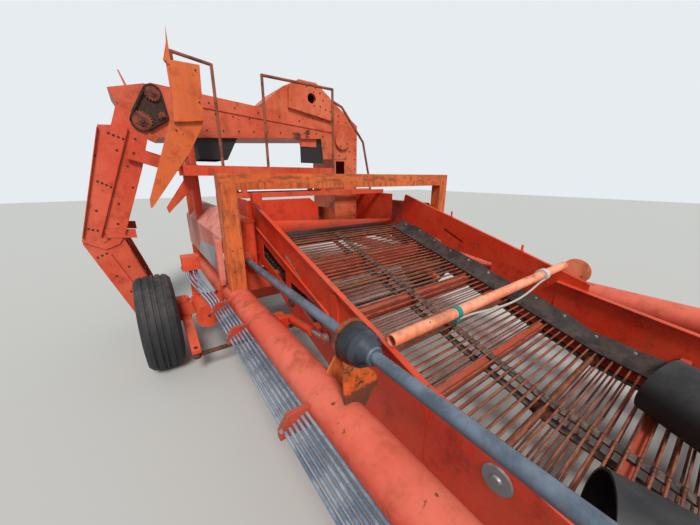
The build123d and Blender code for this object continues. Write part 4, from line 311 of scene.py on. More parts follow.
def painted(name, paint, faded, rust_amount=0.3, edge_wear=0.6, fade=0.6, dirt=0.3, scale=1.0):
    """A weathered paint finish in the given colours."""
    finish, tree, shader = new_finish(name)
    group = tree.nodes.new("ShaderNodeGroup")
    group.node_tree = weathered
    for label, value in (
        ("Paint", (*paint, 1)), ("Faded Paint", (*faded, 1)), ("Rust", (0.085, 0.032, 0.018, 1)),
        ("Rust Amount", rust_amount), ("Edge Wear", edge_wear), ("Fade", fade), ("Dirt", dirt),
        ("Scale", scale),
    ):
        group.inputs[label].default_value = value
    shader.inputs["Specular IOR Level"].default_value = 0.28
    cover(shader, *group.outputs, strength=0.5, distance=0.006)
    return finish


def colour_of(finish):
    """The socket that a finish takes its colour from."""
    return finish.node_tree.nodes["Principled BSDF"].inputs["Base Color"].links[0].from_socket


def recolour(finish, colour):
    """Gives a finish another colour in place of its own."""
    feed(finish.node_tree.nodes["Principled BSDF"].inputs["Base Color"], colour)


def dress(finish, *names):
    """Gives the named frame nodes this finish."""
    for name in names:
        mesh = nodes[name].data
        mesh.materials.clear()
        mesh.materials.append(finish)


tube_red = painted(
    "tube_red", (0.61, 0.060, 0.030), (0.73, 0.150, 0.095), rust_amount=0.36, fade=0.8, dirt=0.08,
)
chassis_red = painted(
    "chassis_red", (0.60, 0.055, 0.020), (0.72, 0.115, 0.050), rust_amount=0.36, fade=0.7,
)
cover_red = painted(
    "cover_red", (0.56, 0.090, 0.050), (0.76, 0.30, 0.24), rust_amount=0.30, fade=0.9, edge_wear=0.8,
)
dress(tube_red, "main_tube_left", "main_tube_right", "front_cross_tube", "drawbar", "jack_outer")
dress(chassis_red, "side_tubes", "cross_beams", "axle_beam", "rear_rails", "platform_frame")
dress(chassis_red, "knuckle_left", "knuckle_right", "rim_left", "rim_right")
dress(cover_red, "rear_covers")

# Web side plates, hopper and lift gear
# Folded sheet plates welded to stiffeners, shaded by one another, so their paint kept its deep red.
deep_red = painted(
    "deep_red", (0.60, 0.028, 0.006), (0.70, 0.085, 0.035), rust_amount=0.24, fade=0.5, edge_wear=0.8,
)
# A brighter red for the drive housing, which the plate pegs share: partly the housing's own lighter
# paint, partly painted light that lifts it out of the shade it stands in.
red_paint_with_painted_light = painted("red_paint_with_painted_light", (0.74, 0.060, 0.018), (0.80, 0.14, 0.06), rust_amount=0.22, fade=0.4)
member_red = painted("member_red", (0.42, 0.035, 0.018), (0.50, 0.09, 0.05), rust_amount=0.5, fade=0.5)
dress(deep_red, "web_rear_plates", "web_front_plates", "hopper_walls")
dress(deep_red, "lift_brackets", "web_lugs", "lift_ram_barrels")
dress(red_paint_with_painted_light, "drive_housing")
dress(member_red, "web_cross_members", "web_pivot_bearing", "pipe_clamps")

# Gantry and panel
# Square tube arch over the web and the flat panel at the platform's end: old orange paint, with rust
# drawn down the posts and along the beam.
gantry_orange = painted(
    "gantry_orange", (0.62, 0.110, 0.026), (0.74, 0.175, 0.050), rust_amount=0.50, fade=0.7,
    edge_wear=1.0,
)
panel_orange = painted(
    "panel_orange", (0.60, 0.115, 0.026), (0.70, 0.17, 0.06), rust_amount=0.36, fade=0.6, edge_wear=0.9,
)
gantry_place = on_object(gantry_orange.node_tree)
gantry_up = wire("ShaderNodeSeparateXYZ", {0: gantry_place}, 2)
beam_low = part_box("gantry")[1][2] - 0.070
streaks = []
for spread in ((26, 26, 3.5), (5, 26, 26)):
    drawn = wire("ShaderNodeMapping", {"Vector": gantry_place, "Scale": spread})
    streaks.append(ramp(noise(drawn, 1.0, 8, 0.74), 0.46, 0.62))
on_beam = calc("GREATER_THAN", gantry_up, beam_low)
streak = wire("ShaderNodeMix", {0: on_beam, 2: streaks[0], 3: streaks[1]}, data_type="FLOAT")
streak_brown = (0.19, 0.060, 0.024, 1)
recolour(gantry_orange, blend_colour(times(streak, 0.8), colour_of(gantry_orange), streak_brown))
dress(gantry_orange, "gantry", "pto_brackets")
dress(panel_orange, "rear_panel")

# Bar across the web
# Round tube, once orange; a teal webbing strap and a wound rope knot sit on it.
bar_paint = painted("bar_paint", (0.80, 0.205, 0.095), (0.90, 0.37, 0.22), rust_amount=0.40, fade=0.9)
bar_along = wire("ShaderNodeSeparateXYZ", {0: on_object(bar_paint.node_tree)})
strap_teal, knot_grey = (0.0, 0.26, 0.22, 1), (0.55, 0.53, 0.49, 1)
for start_x, end_x, tone in ((0.5795, 0.6125, strap_teal), (1.6390, 1.6910, knot_grey)):
    inside = times(calc("GREATER_THAN", bar_along, start_x), calc("LESS_THAN", bar_along, end_x))
    recolour(bar_paint, blend_colour(inside, colour_of(bar_paint), tone))
dress(bar_paint, "web_crossbar")

# Boom, upper conveyor, tower and hood
# Bolted sheet and angle, painted the same red and rusted more than the frame, with brown runs.
upper_red = painted(
    "upper_red", (0.54, 0.075, 0.032), (0.68, 0.145, 0.070), rust_amount=0.38, fade=0.8, edge_wear=1.0,
)
hood_red = painted(
    "hood_red", (0.58, 0.098, 0.038), (0.70, 0.18, 0.085), rust_amount=0.36, fade=0.8, edge_wear=1.0,
)
boom_red = painted(
    "boom_red", (0.58, 0.062, 0.026), (0.68, 0.125, 0.065), rust_amount=0.32, fade=0.8, edge_wear=1.0,
)
dress(upper_red, "upper_frame", "boom_hopper")
dress(hood_red, "elevator_tower", "drive_hood")
dress(boom_red, "boom_upper", "boom_lower", "strut_channel")


# Web rods, shafts, pins and rails
# Bare and rusted steel that has lost its paint: brown rust with darker scale, and bright where a ram's
# rod slides.
def rusty(name, dark, light, scale=1.0, polish=0.0):
    """A rusted steel finish between two tones, brighter and smoother where it is polished."""
    finish, tree, shader = new_finish(name)
    place = on_object(tree)
    coarse = noise(place, 9 * scale, 8, 0.7)
    small = noise(place, 90 * scale, 5, 0.7)
    scaly = blend_colour(ramp(coarse, 0.38, 0.62), (*dark, 1), (*light, 1))
    tone = blend_colour(times(ramp(small, 0.5, 0.7), 0.5), scaly, (0.34, 0.13, 0.06, 1))
    smooth, coarsest = 0.72 - 0.4 * polish, 0.95 - 0.4 * polish
    rough = wire("ShaderNodeMapRange", {"Value": coarse, "To Min": smooth, "To Max": coarsest})
    shader.inputs["Metallic"].default_value = 0.2 + 0.6 * polish
    cover(shader, tone, rough, small, strength=0.4, distance=0.002)
    return finish


rod_rust = rusty("rod_rust", (0.16, 0.050, 0.030), (0.34, 0.115, 0.062))
dark_rust = rusty("dark_rust", (0.035, 0.020, 0.015), (0.16, 0.062, 0.034))
bright_rod = rusty("bright_rod", (0.35, 0.35, 0.36), (0.55, 0.55, 0.56), polish=1.0)
rail_rust = rusty("rail_rust", (0.13, 0.040, 0.022), (0.34, 0.10, 0.05))
dress(rod_rust, "web_rods", "web_rollers", "pickup_bar", "strut_tube", "strut_lug")
dress(rail_rust, "platform_rails")
dress(dark_rust, "boom_chain_drive", "hitch_eye", "jack_leg", "track_rod", "pto_shaft")
dress(bright_rod, "lift_ram_rods")


# Pipes, shaft guard, belts and tyres
# Pipes are plated steel gone dull; the shaft's guard is dark moulded plastic, darker at its bell;
# belts, flaps and tyres are rubber with dry dust.
def plain_worn(name, base, dusted, roughness, scale=1.0, metallic=0.0):
    """A plain finish that dust has settled on where it looks up."""
    finish, tree, shader = new_finish(name)
    place = on_object(tree)
    cloud = noise(place, 6 * scale, 7, 0.68)
    grain = noise(place, 70 * scale, 4, 0.6)
    facing_up = wire("ShaderNodeSeparateXYZ", {0: wire("ShaderNodeNewGeometry", {}, "Normal", tree)}, 2)
    lying = times(ramp(facing_up, -0.2, 0.9), ramp(cloud, 0.38, 0.62))
    tone = blend_colour(lying, (*base, 1), (*dusted, 1))
    speck = blend_colour(times(ramp(grain, 0.55, 0.7), 0.35), tone, (*dusted, 1))
    smooth, coarsest = roughness - 0.14, roughness + 0.14
    rough = wire("ShaderNodeMapRange", {"Value": cloud, "To Min": smooth, "To Max": coarsest})
    shader.inputs["Metallic"].default_value = metallic
    cover(shader, speck, rough, grain, strength=0.25, distance=0.002)
    return finish


zinc = plain_worn("zinc", (0.12, 0.17, 0.24), (0.34, 0.41, 0.48), 0.38, metallic=0.3)
black_rubber = plain_worn("black_rubber", (0.009, 0.010, 0.012), (0.036, 0.032, 0.030), 0.6)
tyre_rubber = plain_worn("tyre_rubber", (0.016, 0.017, 0.020), (0.062, 0.056, 0.052), 0.78)
web_belt_rubber = plain_worn(
    "web_belt_rubber", (0.030, 0.024, 0.022), (0.16, 0.11, 0.085), 0.85, scale=3,
)
guard_plastic = plain_worn("guard_plastic", (0.070, 0.095, 0.130), (0.150, 0.190, 0.25), 0.32)
guard_axis_z = (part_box("pto_guard")[0][2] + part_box("pto_guard")[1][2]) / 2
guard_place = wire(
    "ShaderNodeVectorMath",
    {0: on_object(guard_plastic.node_tree), 1: (1, 0, 1), 2: (0, 0, -guard_axis_z)},
    operation="MULTIPLY_ADD",
)
guard_out = wire("ShaderNodeVectorMath", {0: guard_place}, "Value", operation="LENGTH")
guard_tone = colour_of(guard_plastic)
bell_tone = blend_colour(0.25, (0.012, 0.014, 0.018, 1), guard_tone)
recolour(guard_plastic, blend_colour(ramp(guard_out, 0.042, 0.046), guard_tone, bell_tone))
dress(zinc, "hydraulic_pipes")
dress(guard_plastic, "pto_guard")
dress(black_rubber, "web_flaps", "web_deflectors", "conveyor_belts", "rubber_chute")
dress(black_rubber, "boom_upper_belt", "boom_lower_belt")
dress(web_belt_rubber, "web_belts")
dress(tyre_rubber, "tyre_left", "tyre_right")

# Bolts on the boom, conveyor, hood, tower and panel
# Plain steel hexagon nuts on washers, with the stud's end standing out. Each sits square on the sheet
# that it holds.
fixing = bpy.data.node_groups.new("fixing", "GeometryNodeTree")
opened(
    fixing, "INPUT", ("Spots", "Geometry"), ("Across", "Float", 0.018), ("Height", "Float", 0.010),
    ("Stud", "Float", 0.006), ("Finish", "Material"),
)
opened(fixing, "OUTPUT", ("Fixings", "Geometry"))
asked = wire("NodeGroupInput", {}, tree=fixing).node.outputs
stacked = wire("GeometryNodeJoinGeometry", {}, tree=fixing)
nut_wide, washer_wide, stud_wide = 0.577, 0.85, 0.30
washer_tall = wire("ShaderNodeMath", {0: asked["Height"], 1: 0.25}, operation="MULTIPLY")
stud_tall = wire("ShaderNodeMath", {0: asked["Height"], 1: asked["Stud"]}, operation="ADD")
for sides, wide, tall in (
    (6, nut_wide, asked["Height"]), (12, washer_wide, washer_tall), (8, stud_wide, stud_tall),
):
    reach = wire("ShaderNodeMath", {0: asked["Across"], 1: wide}, operation="MULTIPLY")
    drum = wire("GeometryNodeMeshCylinder", {"Vertices": sides, "Radius": reach, "Depth": tall})
    lifted = wire("ShaderNodeMath", {0: tall, 1: 0.5}, operation="MULTIPLY")
    seat = wire("ShaderNodeCombineXYZ", {"Z": lifted})
    feed(stacked.node.inputs[0], wire("GeometryNodeTransform", {"Geometry": drum, "Translation": seat}))
facing = wire(
    "GeometryNodeInputNamedAttribute", {"Name": "facing"}, tree=fixing, data_type="FLOAT_VECTOR",
)
aimed = wire("FunctionNodeAlignRotationToVector", {"Vector": facing}, axis="Z")
set_down = wire(
    "GeometryNodeInstanceOnPoints", {"Points": asked["Spots"], "Instance": stacked, "Rotation": aimed},
)
made = wire("GeometryNodeRealizeInstances", {"Geometry": set_down})
finished = wire("GeometryNodeSetMaterial", {"Geometry": made, "Material": asked["Finish"]})
wire("NodeGroupOutput", {"Fixings": finished})


def drawn_mesh(piece):
    """What a piece looks like now, as a plain mesh."""
    return bpy.data.meshes.new_from_object(piece.evaluated_get(bpy.context.evaluated_depsgraph_get()))


def as_mesh(piece, tree, **values):
    """Runs a node tree on a piece with its named inputs set, and keeps the result as a plain mesh."""
    shaper = piece.modifiers.new("made", "NODES")
    shaper.node_group = tree
    for item in tree.interface.items_tree:
        if item.in_out == "INPUT" and item.name in values:
            shaper[item.identifier] = values[item.name]
    shape = drawn_mesh(piece)
    piece.modifiers.clear()
    piece.data = shape


def surface_of(mesh):
    """A mesh's surface, ready to be met by a straight line."""
    return BVHTree.FromPolygons([v.co for v in mesh.vertices], [p.vertices[:] for p in mesh.polygons])


surfaces = {}


def struck(names, start, along):
    """The nearest place on the named nodes along a straight line, the way it faces, and how far."""
    nearest = None
    for name in names:
        if name not in surfaces:
            surfaces[name] = surface_of(nodes[name].data)
        place, out, _, far = surfaces[name].ray_cast(Vector(start), Vector(along))
        if place is not None and (nearest is None or far < nearest[2]):
            nearest = (place, out, far)
    return nearest


def fixings(name, body, names, starts, along, finish, across, height=0.010, stud=0.006):
    """Nuts and washers where straight lines from the starts meet the named nodes."""
    sunk = 0.0005
    hits = [hit for hit in (struck(names, start, along) for start in starts) if hit is not None]
    spots = bpy.data.meshes.new(name)
    spots.from_pydata([place - out * sunk for place, out, _ in hits], [], [])
    facing = spots.attributes.new("facing", "FLOAT_VECTOR", "POINT")
    for i, (_, out, _) in enumerate(hits):
        facing.data[i].vector = out
    piece = placed(name, spots)
    as_mesh(piece, fixing, Across=across, Height=height, Stud=stud, Finish=finish)
    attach(piece, body)


def rows_at(y, *rows):
    """Evenly spaced places in rows across y, from (x, z) of both ends and a count."""
    places = []
    for (x0, z0), (x1, z1), count in rows:
        for i in range(count):
            places.append(Vector((x0, y, z0)).lerp(Vector((x1, y, z1)), i / (count - 1)))
    return places


def ring_at(y, x, z, radius, count):
    """Places on a circle that faces along y."""
    angles = [2 * math.pi * i / count for i in range(count)]
    return [Vector((x, y, z)) + Vector((radius * math.cos(a), 0, radius * math.sin(a))) for a in angles]


rusty_bolt = rusty("rusty_bolt", (0.030, 0.018, 0.014), (0.12, 0.050, 0.028), scale=3.0)
plated_bolt = rusty("plated_bolt", (0.22, 0.21, 0.20), (0.40, 0.38, 0.35), scale=3.0, polish=0.6)
toward_rear = (0, 1, 0)
boom_start_y = 5.9
# Rows across the boards' stiffeners and singles down their edges, as (x, z)
upper_board = (
    (-0.803, 1.588), (-0.771, 1.574), (-0.739, 1.561), (-0.706, 1.548), (-0.952, 1.184), (-0.925, 1.168),
    (-0.898, 1.152), (-0.870, 1.136), (-1.093, 0.774), (-1.065, 0.763), (-1.035, 0.753), (-0.618, 1.554),
    (-0.716, 1.316), (-0.710, 1.128), (-0.842, 0.984), (-0.969, 0.665), (-0.930, 1.40), (-1.010, 0.93),
    (-0.770, 1.45), (-0.880, 0.80),
)
lower_board = (
    (-1.083, 0.502), (-1.048, 0.517), (-1.013, 0.531), (-0.872, 0.375), (-0.98, 0.30), (-0.90, 0.12),
    (-0.76, 0.10),
)
for body, board in (("boom_upper", upper_board), ("boom_lower", lower_board)):
    fixings(
        f"{body}_bolts", body, [body], [(x, boom_start_y, z) for x, z in board], toward_rear, rusty_bolt,
        across=0.0125, height=0.007, stud=0.003,
    )
trough_rows = rows_at(
    boom_start_y, ((-0.45, 1.97), (1.05, 1.875), 7), ((-0.48, 1.655), (1.28, 1.750), 12),
    ((0.10, 1.84), (0.62, 1.83), 4),
)
hood_rows = (
    rows_at(boom_start_y, ((0.74, 1.92), (1.86, 1.92), 10), ((1.14, 2.25), (1.62, 2.25), 5))
    + ring_at(boom_start_y, 1.28, 2.13, 0.085, 6)
    + rows_at(boom_start_y, ((1.40, 2.03), (1.62, 1.99), 4))
)
tower_rows = (
    rows_at(boom_start_y, ((1.37, 0.55), (1.37, 1.72), 10), ((1.89, 0.55), (1.89, 1.72), 10))
    + ring_at(boom_start_y, 1.70, 1.56, 0.10, 5)
)
panel_rows = rows_at(5.4, ((-0.33, 1.60), (-0.33, 2.10), 3), ((-0.12, 1.60), (-0.12, 2.08), 3))
for name, node, starts, across in (
    ("trough_bolts", "upper_frame", trough_rows, 0.010),
    ("hood_bolts", "drive_hood", hood_rows, 0.010),
    ("tower_bolts", "elevator_tower", tower_rows, 0.011),
    ("panel_bolts", "rear_panel", panel_rows, 0.009),
):
    fixings(name, "frame", [node], starts, toward_rear, rusty_bolt, across)


# Bearing caps at the web's shafts
# Pressed steel caps on flanges, one each side where a roller's shaft meets its side plate. The one
# nearest the front shaft's guard is a large plated disc with its nut.
setting = bpy.data.node_groups.new("setting_out", "GeometryNodeTree")
opened(setting, "INPUT", ("Spots", "Geometry"), ("Pattern", "Object"), ("Finish", "Material"))
opened(setting, "OUTPUT", ("Pieces", "Geometry"))
wanted = wire("NodeGroupInput", {}, tree=setting).node.outputs
pattern_shape = wire("GeometryNodeObjectInfo", {"Object": wanted["Pattern"]}, "Geometry")
spot_turn = wire(
    "GeometryNodeInputNamedAttribute", {"Name": "turn"}, tree=setting, data_type="FLOAT_VECTOR",
)
spot_rotation = wire("FunctionNodeEulerToRotation", {0: spot_turn})
laid_out = wire(
    "GeometryNodeInstanceOnPoints",
    {"Points": wanted["Spots"], "Instance": pattern_shape, "Rotation": spot_rotation},
)
laid_real = wire("GeometryNodeRealizeInstances", {"Geometry": laid_out})
laid_dressed = wire("GeometryNodeSetMaterial", {"Geometry": laid_real, "Material": wanted["Finish"]})
wire("NodeGroupOutput", {"Pieces": laid_dressed})


def set_out(name, body, pattern, spots, finish):
    """Copies of one pattern at (place, outward, along) spots, as one plain mesh."""
    mesh = bpy.data.meshes.new(name)
    mesh.from_pydata([spot[0] for spot in spots], [], [])
    turn = mesh.attributes.new("turn", "FLOAT_VECTOR", "POINT")
    for i, (_, outward, along) in enumerate(spots):
        outward, along = Vector(outward).normalized(), Vector(along).normalized()
        across = outward.cross(along).normalized()
        along = across.cross(outward)
        turn.data[i].vector = Matrix((along, across, outward)).transposed().to_euler()
    piece = placed(name, mesh)
    shape = placed(name + "_pattern", pattern)
    as_mesh(piece, setting, Pattern=shape, Finish=finish)
    bpy.data.objects.remove(shape)
    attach(piece, body)


def skin(bm, rings):
    """Faces from each ring of corners to the next, and over both ends."""
    for low, high in zip(rings, rings[1:]):
        for i in range(len(low)):
            j = (i + 1) % len(low)
            bm.faces.new((low[i], low[j], high[j], high[i]))
    bm.faces.new(rings[0][::-1])
    bm.faces.new(rings[-1])


def shape_of(bm, name):
    """Ends a shape's making with its faces pointing outwards."""
    bmesh.ops.recalc_face_normals(bm, faces=bm.faces)
    mesh = bpy.data.meshes.new(name)
    bm.to_mesh(mesh)
    bm.free()
    return mesh


def turned(name, profile, sides=24):
    """A closed shape turned about Z from (radius, height) pairs, from its foot to its top."""
    bm = bmesh.new()
    angles = [2 * math.pi * i / sides for i in range(sides)]
    rings = []
    for radius, up in profile:
        rings.append([bm.verts.new((radius * math.cos(a), radius * math.sin(a), up)) for a in angles])
    skin(bm, rings)
    return shape_of(bm, name)


def loose_parts(name):
    """The lowest and highest corners of each separate solid in a node, in the order they were made."""
    bm = bmesh.new()
    bm.from_mesh(nodes[name].data)
    bmesh.ops.remove_doubles(bm, verts=bm.verts, dist=1e-6)
    bm.verts.ensure_lookup_table()
    left = set(range(len(bm.verts)))
    parts = []
    while left:
        queue = [min(left)]
        left.discard(queue[0])
        found = []
        while queue:
            vert = bm.verts[queue.pop()]
            found.append(vert.co.copy())
            for edge in vert.link_edges:
                other = edge.other_vert(vert).index
                if other in left:
                    left.discard(other)
                    queue.append(other)
        low = Vector([min(co[i] for co in found) for i in range(3)])
        high = Vector([max(co[i] for co in found) for i in range(3)])
        parts.append((low, high))
    bm.free()
    return parts


left_of_web_x, right_of_web_x = -0.3, 2.5
cap_shape = turned(
    "bearing_cap", ((0.044, 0), (0.044, 0.006), (0.031, 0.008), (0.027, 0.020), (0.012, 0.023)),
)
cap_spots = []
for low, high in loose_parts("web_rollers"):
    middle = (low + high) / 2
    for side, start_x in ((1, left_of_web_x), (-1, right_of_web_x)):
        seat_hit = struck(
            ["web_rear_plates", "web_front_plates"], (start_x, middle.y, middle.z), (side, 0, 0),
        )
        if seat_hit is not None and abs(seat_hit[1].x) > 0.9:
            cap_spots.append((seat_hit[0], (-side, 0, 0), (0, 1, 0)))
set_out("web_bearing_caps", "web", cap_shape, cap_spots, dark_rust)
disc_shape = turned(
    "plated_disc",
    ((0.054, 0), (0.054, 0.004), (0.050, 0.007), (0.022, 0.008), (0.018, 0.016), (0.006, 0.017)), 32,
)
disc_place = struck(["web_front_plates"], (left_of_web_x, 2.984, 0.262), (1, 0, 0))[0]
disc_zinc = plain_worn("disc_zinc", (0.20, 0.20, 0.22), (0.45, 0.46, 0.48), 0.4, scale=5, metallic=0.4)
disc_spots = [(disc_place, (-1, 0, 0), (0, 1, 0))]
set_out("web_plated_disc", "web", disc_shape, disc_spots, disc_zinc)

# Clips where the rods cross the belts
# Each rod is flattened and riveted to the three belts under a pressed steel clip, brown with rust.
clip_half, rivet_out, rivet_up = 0.027, 0.016, 0.0065
clip_outline = (
    (-0.0095, -0.009), (0.0095, -0.009), (0.0095, 0.000), (0.0055, 0.0050), (-0.0055, 0.0050),
    (-0.0095, 0.000),
)
clip_bm = bmesh.new()
clip_ends = []
for x in (-clip_half, clip_half):
    clip_ends.append([clip_bm.verts.new((x, along, up)) for along, up in clip_outline])
skin(clip_bm, clip_ends)
for x in (-rivet_out, rivet_out):
    rivet = bmesh.ops.create_cone(
        clip_bm, cap_ends=True, segments=8, radius1=0.0055, radius2=0.003, depth=0.004,
    )
    bmesh.ops.translate(clip_bm, verts=rivet["verts"], vec=(x, 0, rivet_up))
clip_mesh = shape_of(clip_bm, "rod_clip")
rod_centres = [(low + high) / 2 for low, high in loose_parts("web_rods")]
belt_centres = [(low.x + high.x) / 2 for low, high in loose_parts("web_belts")]
rods_behind = rod_centres[-1:] + rod_centres
loop_turn = sum(behind.y * rod.z - rod.y * behind.z for behind, rod in zip(rods_behind, rod_centres))
outer_side = -1 if loop_turn > 0 else 1
rod_spots = []
for i, centre in enumerate(rod_centres):
    run = (rod_centres[(i + 1) % len(rod_centres)] - rod_centres[i - 1]).normalized()
    rod_spots.append((centre, Vector((0, -run.z, run.y)) * outer_side))
clip_spots = []
for centre, outward in rod_spots:
    clip_spots += [((x, centre.y, centre.z), outward, (1, 0, 0)) for x in belt_centres]
set_out("web_rod_clips", "web", clip_mesh, clip_spots, dark_rust)

# Chain drive at the boom's head
# Two cast chain wheels on keyed shafts and a small idler, with a roller chain round them on a flat
# guard plate, black with old grease. The wheels' webs have rusted red.
drive_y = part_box("boom_chain_drive")[1][1]
chain_y = drive_y - 0.026
chain_wheel_faces = (
    (Vector((-0.424, 1.953)), 0.062, 17), (Vector((-0.543, 1.710)), 0.078, 21),
    (Vector((-0.372, 1.765)), 0.034, 11),
)


def around(centre, radii):
    """Corners (x, z) round a centre, one for each radius in turn."""
    corners = []
    for i, radius in enumerate(radii):
        angle = 2 * math.pi * i / len(radii)
        corners.append((centre.x + radius * math.cos(angle), centre.y + radius * math.sin(angle)))
    return corners


def toothed(centre, pitch_radius, teeth, tip, root):
    """The outline of a chain wheel, whose teeth reach from root to tip about the pitch circle."""
    low, high = pitch_radius - root, pitch_radius + tip
    return around(centre, [low, high, high, low] * teeth)


def prism_y(bm, outline, front, back):
    """A closed prism between two faces across Y from (x, z) corners."""
    skin(bm, [[bm.verts.new((x, y, z)) for x, z in outline] for y in (front, back)])


def outer_half(points):
    """One side of the line pulled tight round the points."""
    kept = []
    for point in points:
        while len(kept) > 1:
            (x0, z0), (x1, z1) = kept[-2:]
            if (x1 - x0) * (point[1] - z0) > (z1 - z0) * (point[0] - x0):
                break
            kept.pop()
        kept.append(point)
    return kept[:-1]


def pulled_round(wheel_faces, clear, count):
    """The corners (x, z) of a line pulled tight round all the wheels, a little clear of them."""
    points = []
    for centre, pitch_radius, _ in wheel_faces:
        points += around(centre, [pitch_radius + clear] * count)
    points.sort()
    return outer_half(points) + outer_half(points[::-1])


wheel_bm = bmesh.new()
for centre, pitch_radius, teeth in chain_wheel_faces:
    teeth_outline = toothed(centre, pitch_radius, teeth, 0.008, 0.005)
    prism_y(wheel_bm, teeth_outline, chain_y - 0.004, chain_y + 0.004)
    for share, count, front, back in (
        (0.50, 28, 0.020, 0.024), (0.26, 16, 0.034, -0.016), (0.80, 28, 0.007, 0.007),
    ):
        drum_outline = around(centre, [pitch_radius * share] * count)
        prism_y(wheel_bm, drum_outline, chain_y - front, chain_y + back)
wheel_rust = rusty("wheel_rust", (0.070, 0.024, 0.016), (0.30, 0.070, 0.040), scale=2.0)
chain_wheels = mounted(
    shape_of(wheel_bm, "chain_wheels"), "chain_wheels", "frame", wheel_rust,
)
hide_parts("boom_chain_drive")

chain_grease = rusty("chain_grease", (0.010, 0.008, 0.007), (0.055, 0.030, 0.020), scale=4.0)
guard_bm = bmesh.new()
prism_y(guard_bm, pulled_round(chain_wheel_faces, 0.016, 24), drive_y - 0.0105, drive_y - 0.0055)
mounted(shape_of(guard_bm, "chain_guard"), "chain_guard", "frame", chain_grease)

link_bm = bmesh.new()
lying_over = Matrix.Rotation(math.pi / 2, 3, "X")
for y in (-0.008, 0.008):
    plate = bmesh.ops.create_cone(
        link_bm, cap_ends=True, segments=12, radius1=0.0075, radius2=0.0075, depth=0.003,
    )
    bmesh.ops.scale(link_bm, verts=plate["verts"], vec=(1.55, 1.0, 1.0))
    bmesh.ops.rotate(link_bm, verts=plate["verts"], cent=(0, 0, 0), matrix=lying_over)
    bmesh.ops.translate(link_bm, verts=plate["verts"], vec=(0, y, 0))
roller = bmesh.ops.create_cone(
    link_bm, cap_ends=True, segments=10, radius1=0.0055, radius2=0.0055, depth=0.020,
)
bmesh.ops.rotate(link_bm, verts=roller["verts"], cent=(0, 0, 0), matrix=lying_over)
link_pitch = 0.0185
chain_path = [Vector((x, chain_y, z)) for x, z in pulled_round(chain_wheel_faces, 0.003, 72)]
chain_spots = []
carried = 0.0
for start, end in zip(chain_path, chain_path[1:] + chain_path[:1]):
    step = end - start
    while carried < step.length:
        chain_spots.append((start + step.normalized() * carried, Vector((step.z, 0, -step.x)), step))
        carried += link_pitch
    carried -= step.length
set_out("boom_chain", "frame", shape_of(link_bm, "chain_link"), chain_spots, chain_grease)

# Rubber bell over the front shaft's joint
# A moulded black rubber cup with a rolled lip, held at its rear by a rusted pressed ring on the
# bracket. It stands round the guard's own cone.
bell_y, bell_ring_y = 3.617, 3.650
toward_front, to_right = (0, -1, 0), (1, 0, 0)
bell_shape = turned(
    "guard_bell",
    (
        (0.040, 0.030), (0.080, 0.014), (0.086, 0.001), (0.092, 0.000), (0.095, 0.007), (0.092, 0.014),
        (0.0905, 0.050), (0.084, 0.074), (0.070, 0.090), (0.054, 0.097), (0.050, 0.100), (0.049, 0.116),
        (0.042, 0.119), (0.034, 0.119),
    ),
    36,
)
bell_rubber = plain_worn("bell_rubber", (0.006, 0.007, 0.010), (0.026, 0.030, 0.040), 0.42, scale=2)
set_out(
    "guard_bell", "frame", bell_shape, [((0, bell_y, guard_axis_z), toward_front, to_right)],
    bell_rubber,
)
bell_ring_shape = turned(
    "bell_ring",
    ((0.070, 0), (0.098, 0.002), (0.100, 0.006), (0.100, 0.020), (0.094, 0.024), (0.070, 0.022)), 32,
)
ring_rust = rusty("ring_rust", (0.060, 0.024, 0.016), (0.34, 0.085, 0.030), scale=2.0)
set_out(
    "bell_ring", "frame", bell_ring_shape, [((0, bell_ring_y, guard_axis_z), toward_front, to_right)],
    ring_rust,
)

# Rubber flaps along the web
# Strips of old belt bolted along both side plates, sloping down to the rods. Their upper edge has
# gone wavy between the bolts.
rod_radius = 0.006
top_rods = sorted((centre.y, centre.z) for centre, outward in rod_spots if outward.z > 0.5)


def rods_top(y):
    """The height of the rods' upper side at a place along the web."""
    for (y0, z0), (y1, z1) in zip(top_rods, top_rods[1:]):
        if y0 <= y <= y1:
            return z0 + (z1 - z0) * (y - y0) / (y1 - y0) + rod_radius
    return top_rods[0][1] + rod_radius


flap_low, flap_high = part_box("web_flaps")
flap_wide, flap_rise, flap_thick, flap_clear = 0.130, 0.092, 0.007, 0.004
flap_stations, flap_steps, bolt_share = 96, 5, 0.86
flap_bm = bmesh.new()
flap_spots = []
for side, wall_x in ((-1, flap_low[0]), (1, flap_high[0])):
    inner_x = wall_x - side * flap_wide
    loops = []
    for i in range(flap_stations + 1):
        y = flap_low[1] + (flap_high[1] - flap_low[1]) * i / flap_stations
        wave = 0.010 * math.sin(9.0 * y + side) + 0.006 * math.sin(23.0 * y)
        profile = []
        for j in range(flap_steps + 1):
            share = j / flap_steps
            sag = math.sin(math.pi * share) * (-0.010 + 0.5 * wave)
            z = rods_top(y) + flap_clear + (flap_rise + wave) * share**1.3 + sag
            profile.append((inner_x + (wall_x - inner_x) * share, z))
        upper = [flap_bm.verts.new((x, y, z + flap_thick)) for x, z in profile]
        lower = [flap_bm.verts.new((x, y, z)) for x, z in profile]
        loops.append(upper + lower[::-1])
        if i % 6 == 3:
            flap_spots.append((inner_x + (wall_x - inner_x) * bolt_share, y))
    skin(flap_bm, loops)
flap_mesh = shape_of(flap_bm, "belt_flaps")
flap_rubber = plain_worn("flap_rubber", (0.012, 0.010, 0.010), (0.060, 0.038, 0.030), 0.7, scale=2)
belt_flaps = mounted(flap_mesh, "belt_flaps", "web", flap_rubber)
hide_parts("web_flaps")
surfaces["belt_flaps"] = surface_of(flap_mesh)
above_web_z = 1.2
downward = (0, 0, -1)
flap_starts = [(x, y, above_web_z) for x, y in flap_spots]
fixings(
    "flap_bolts", "web", ["belt_flaps"], flap_starts, downward, plated_bolt, across=0.013, height=0.006,
    stud=0.004,
)

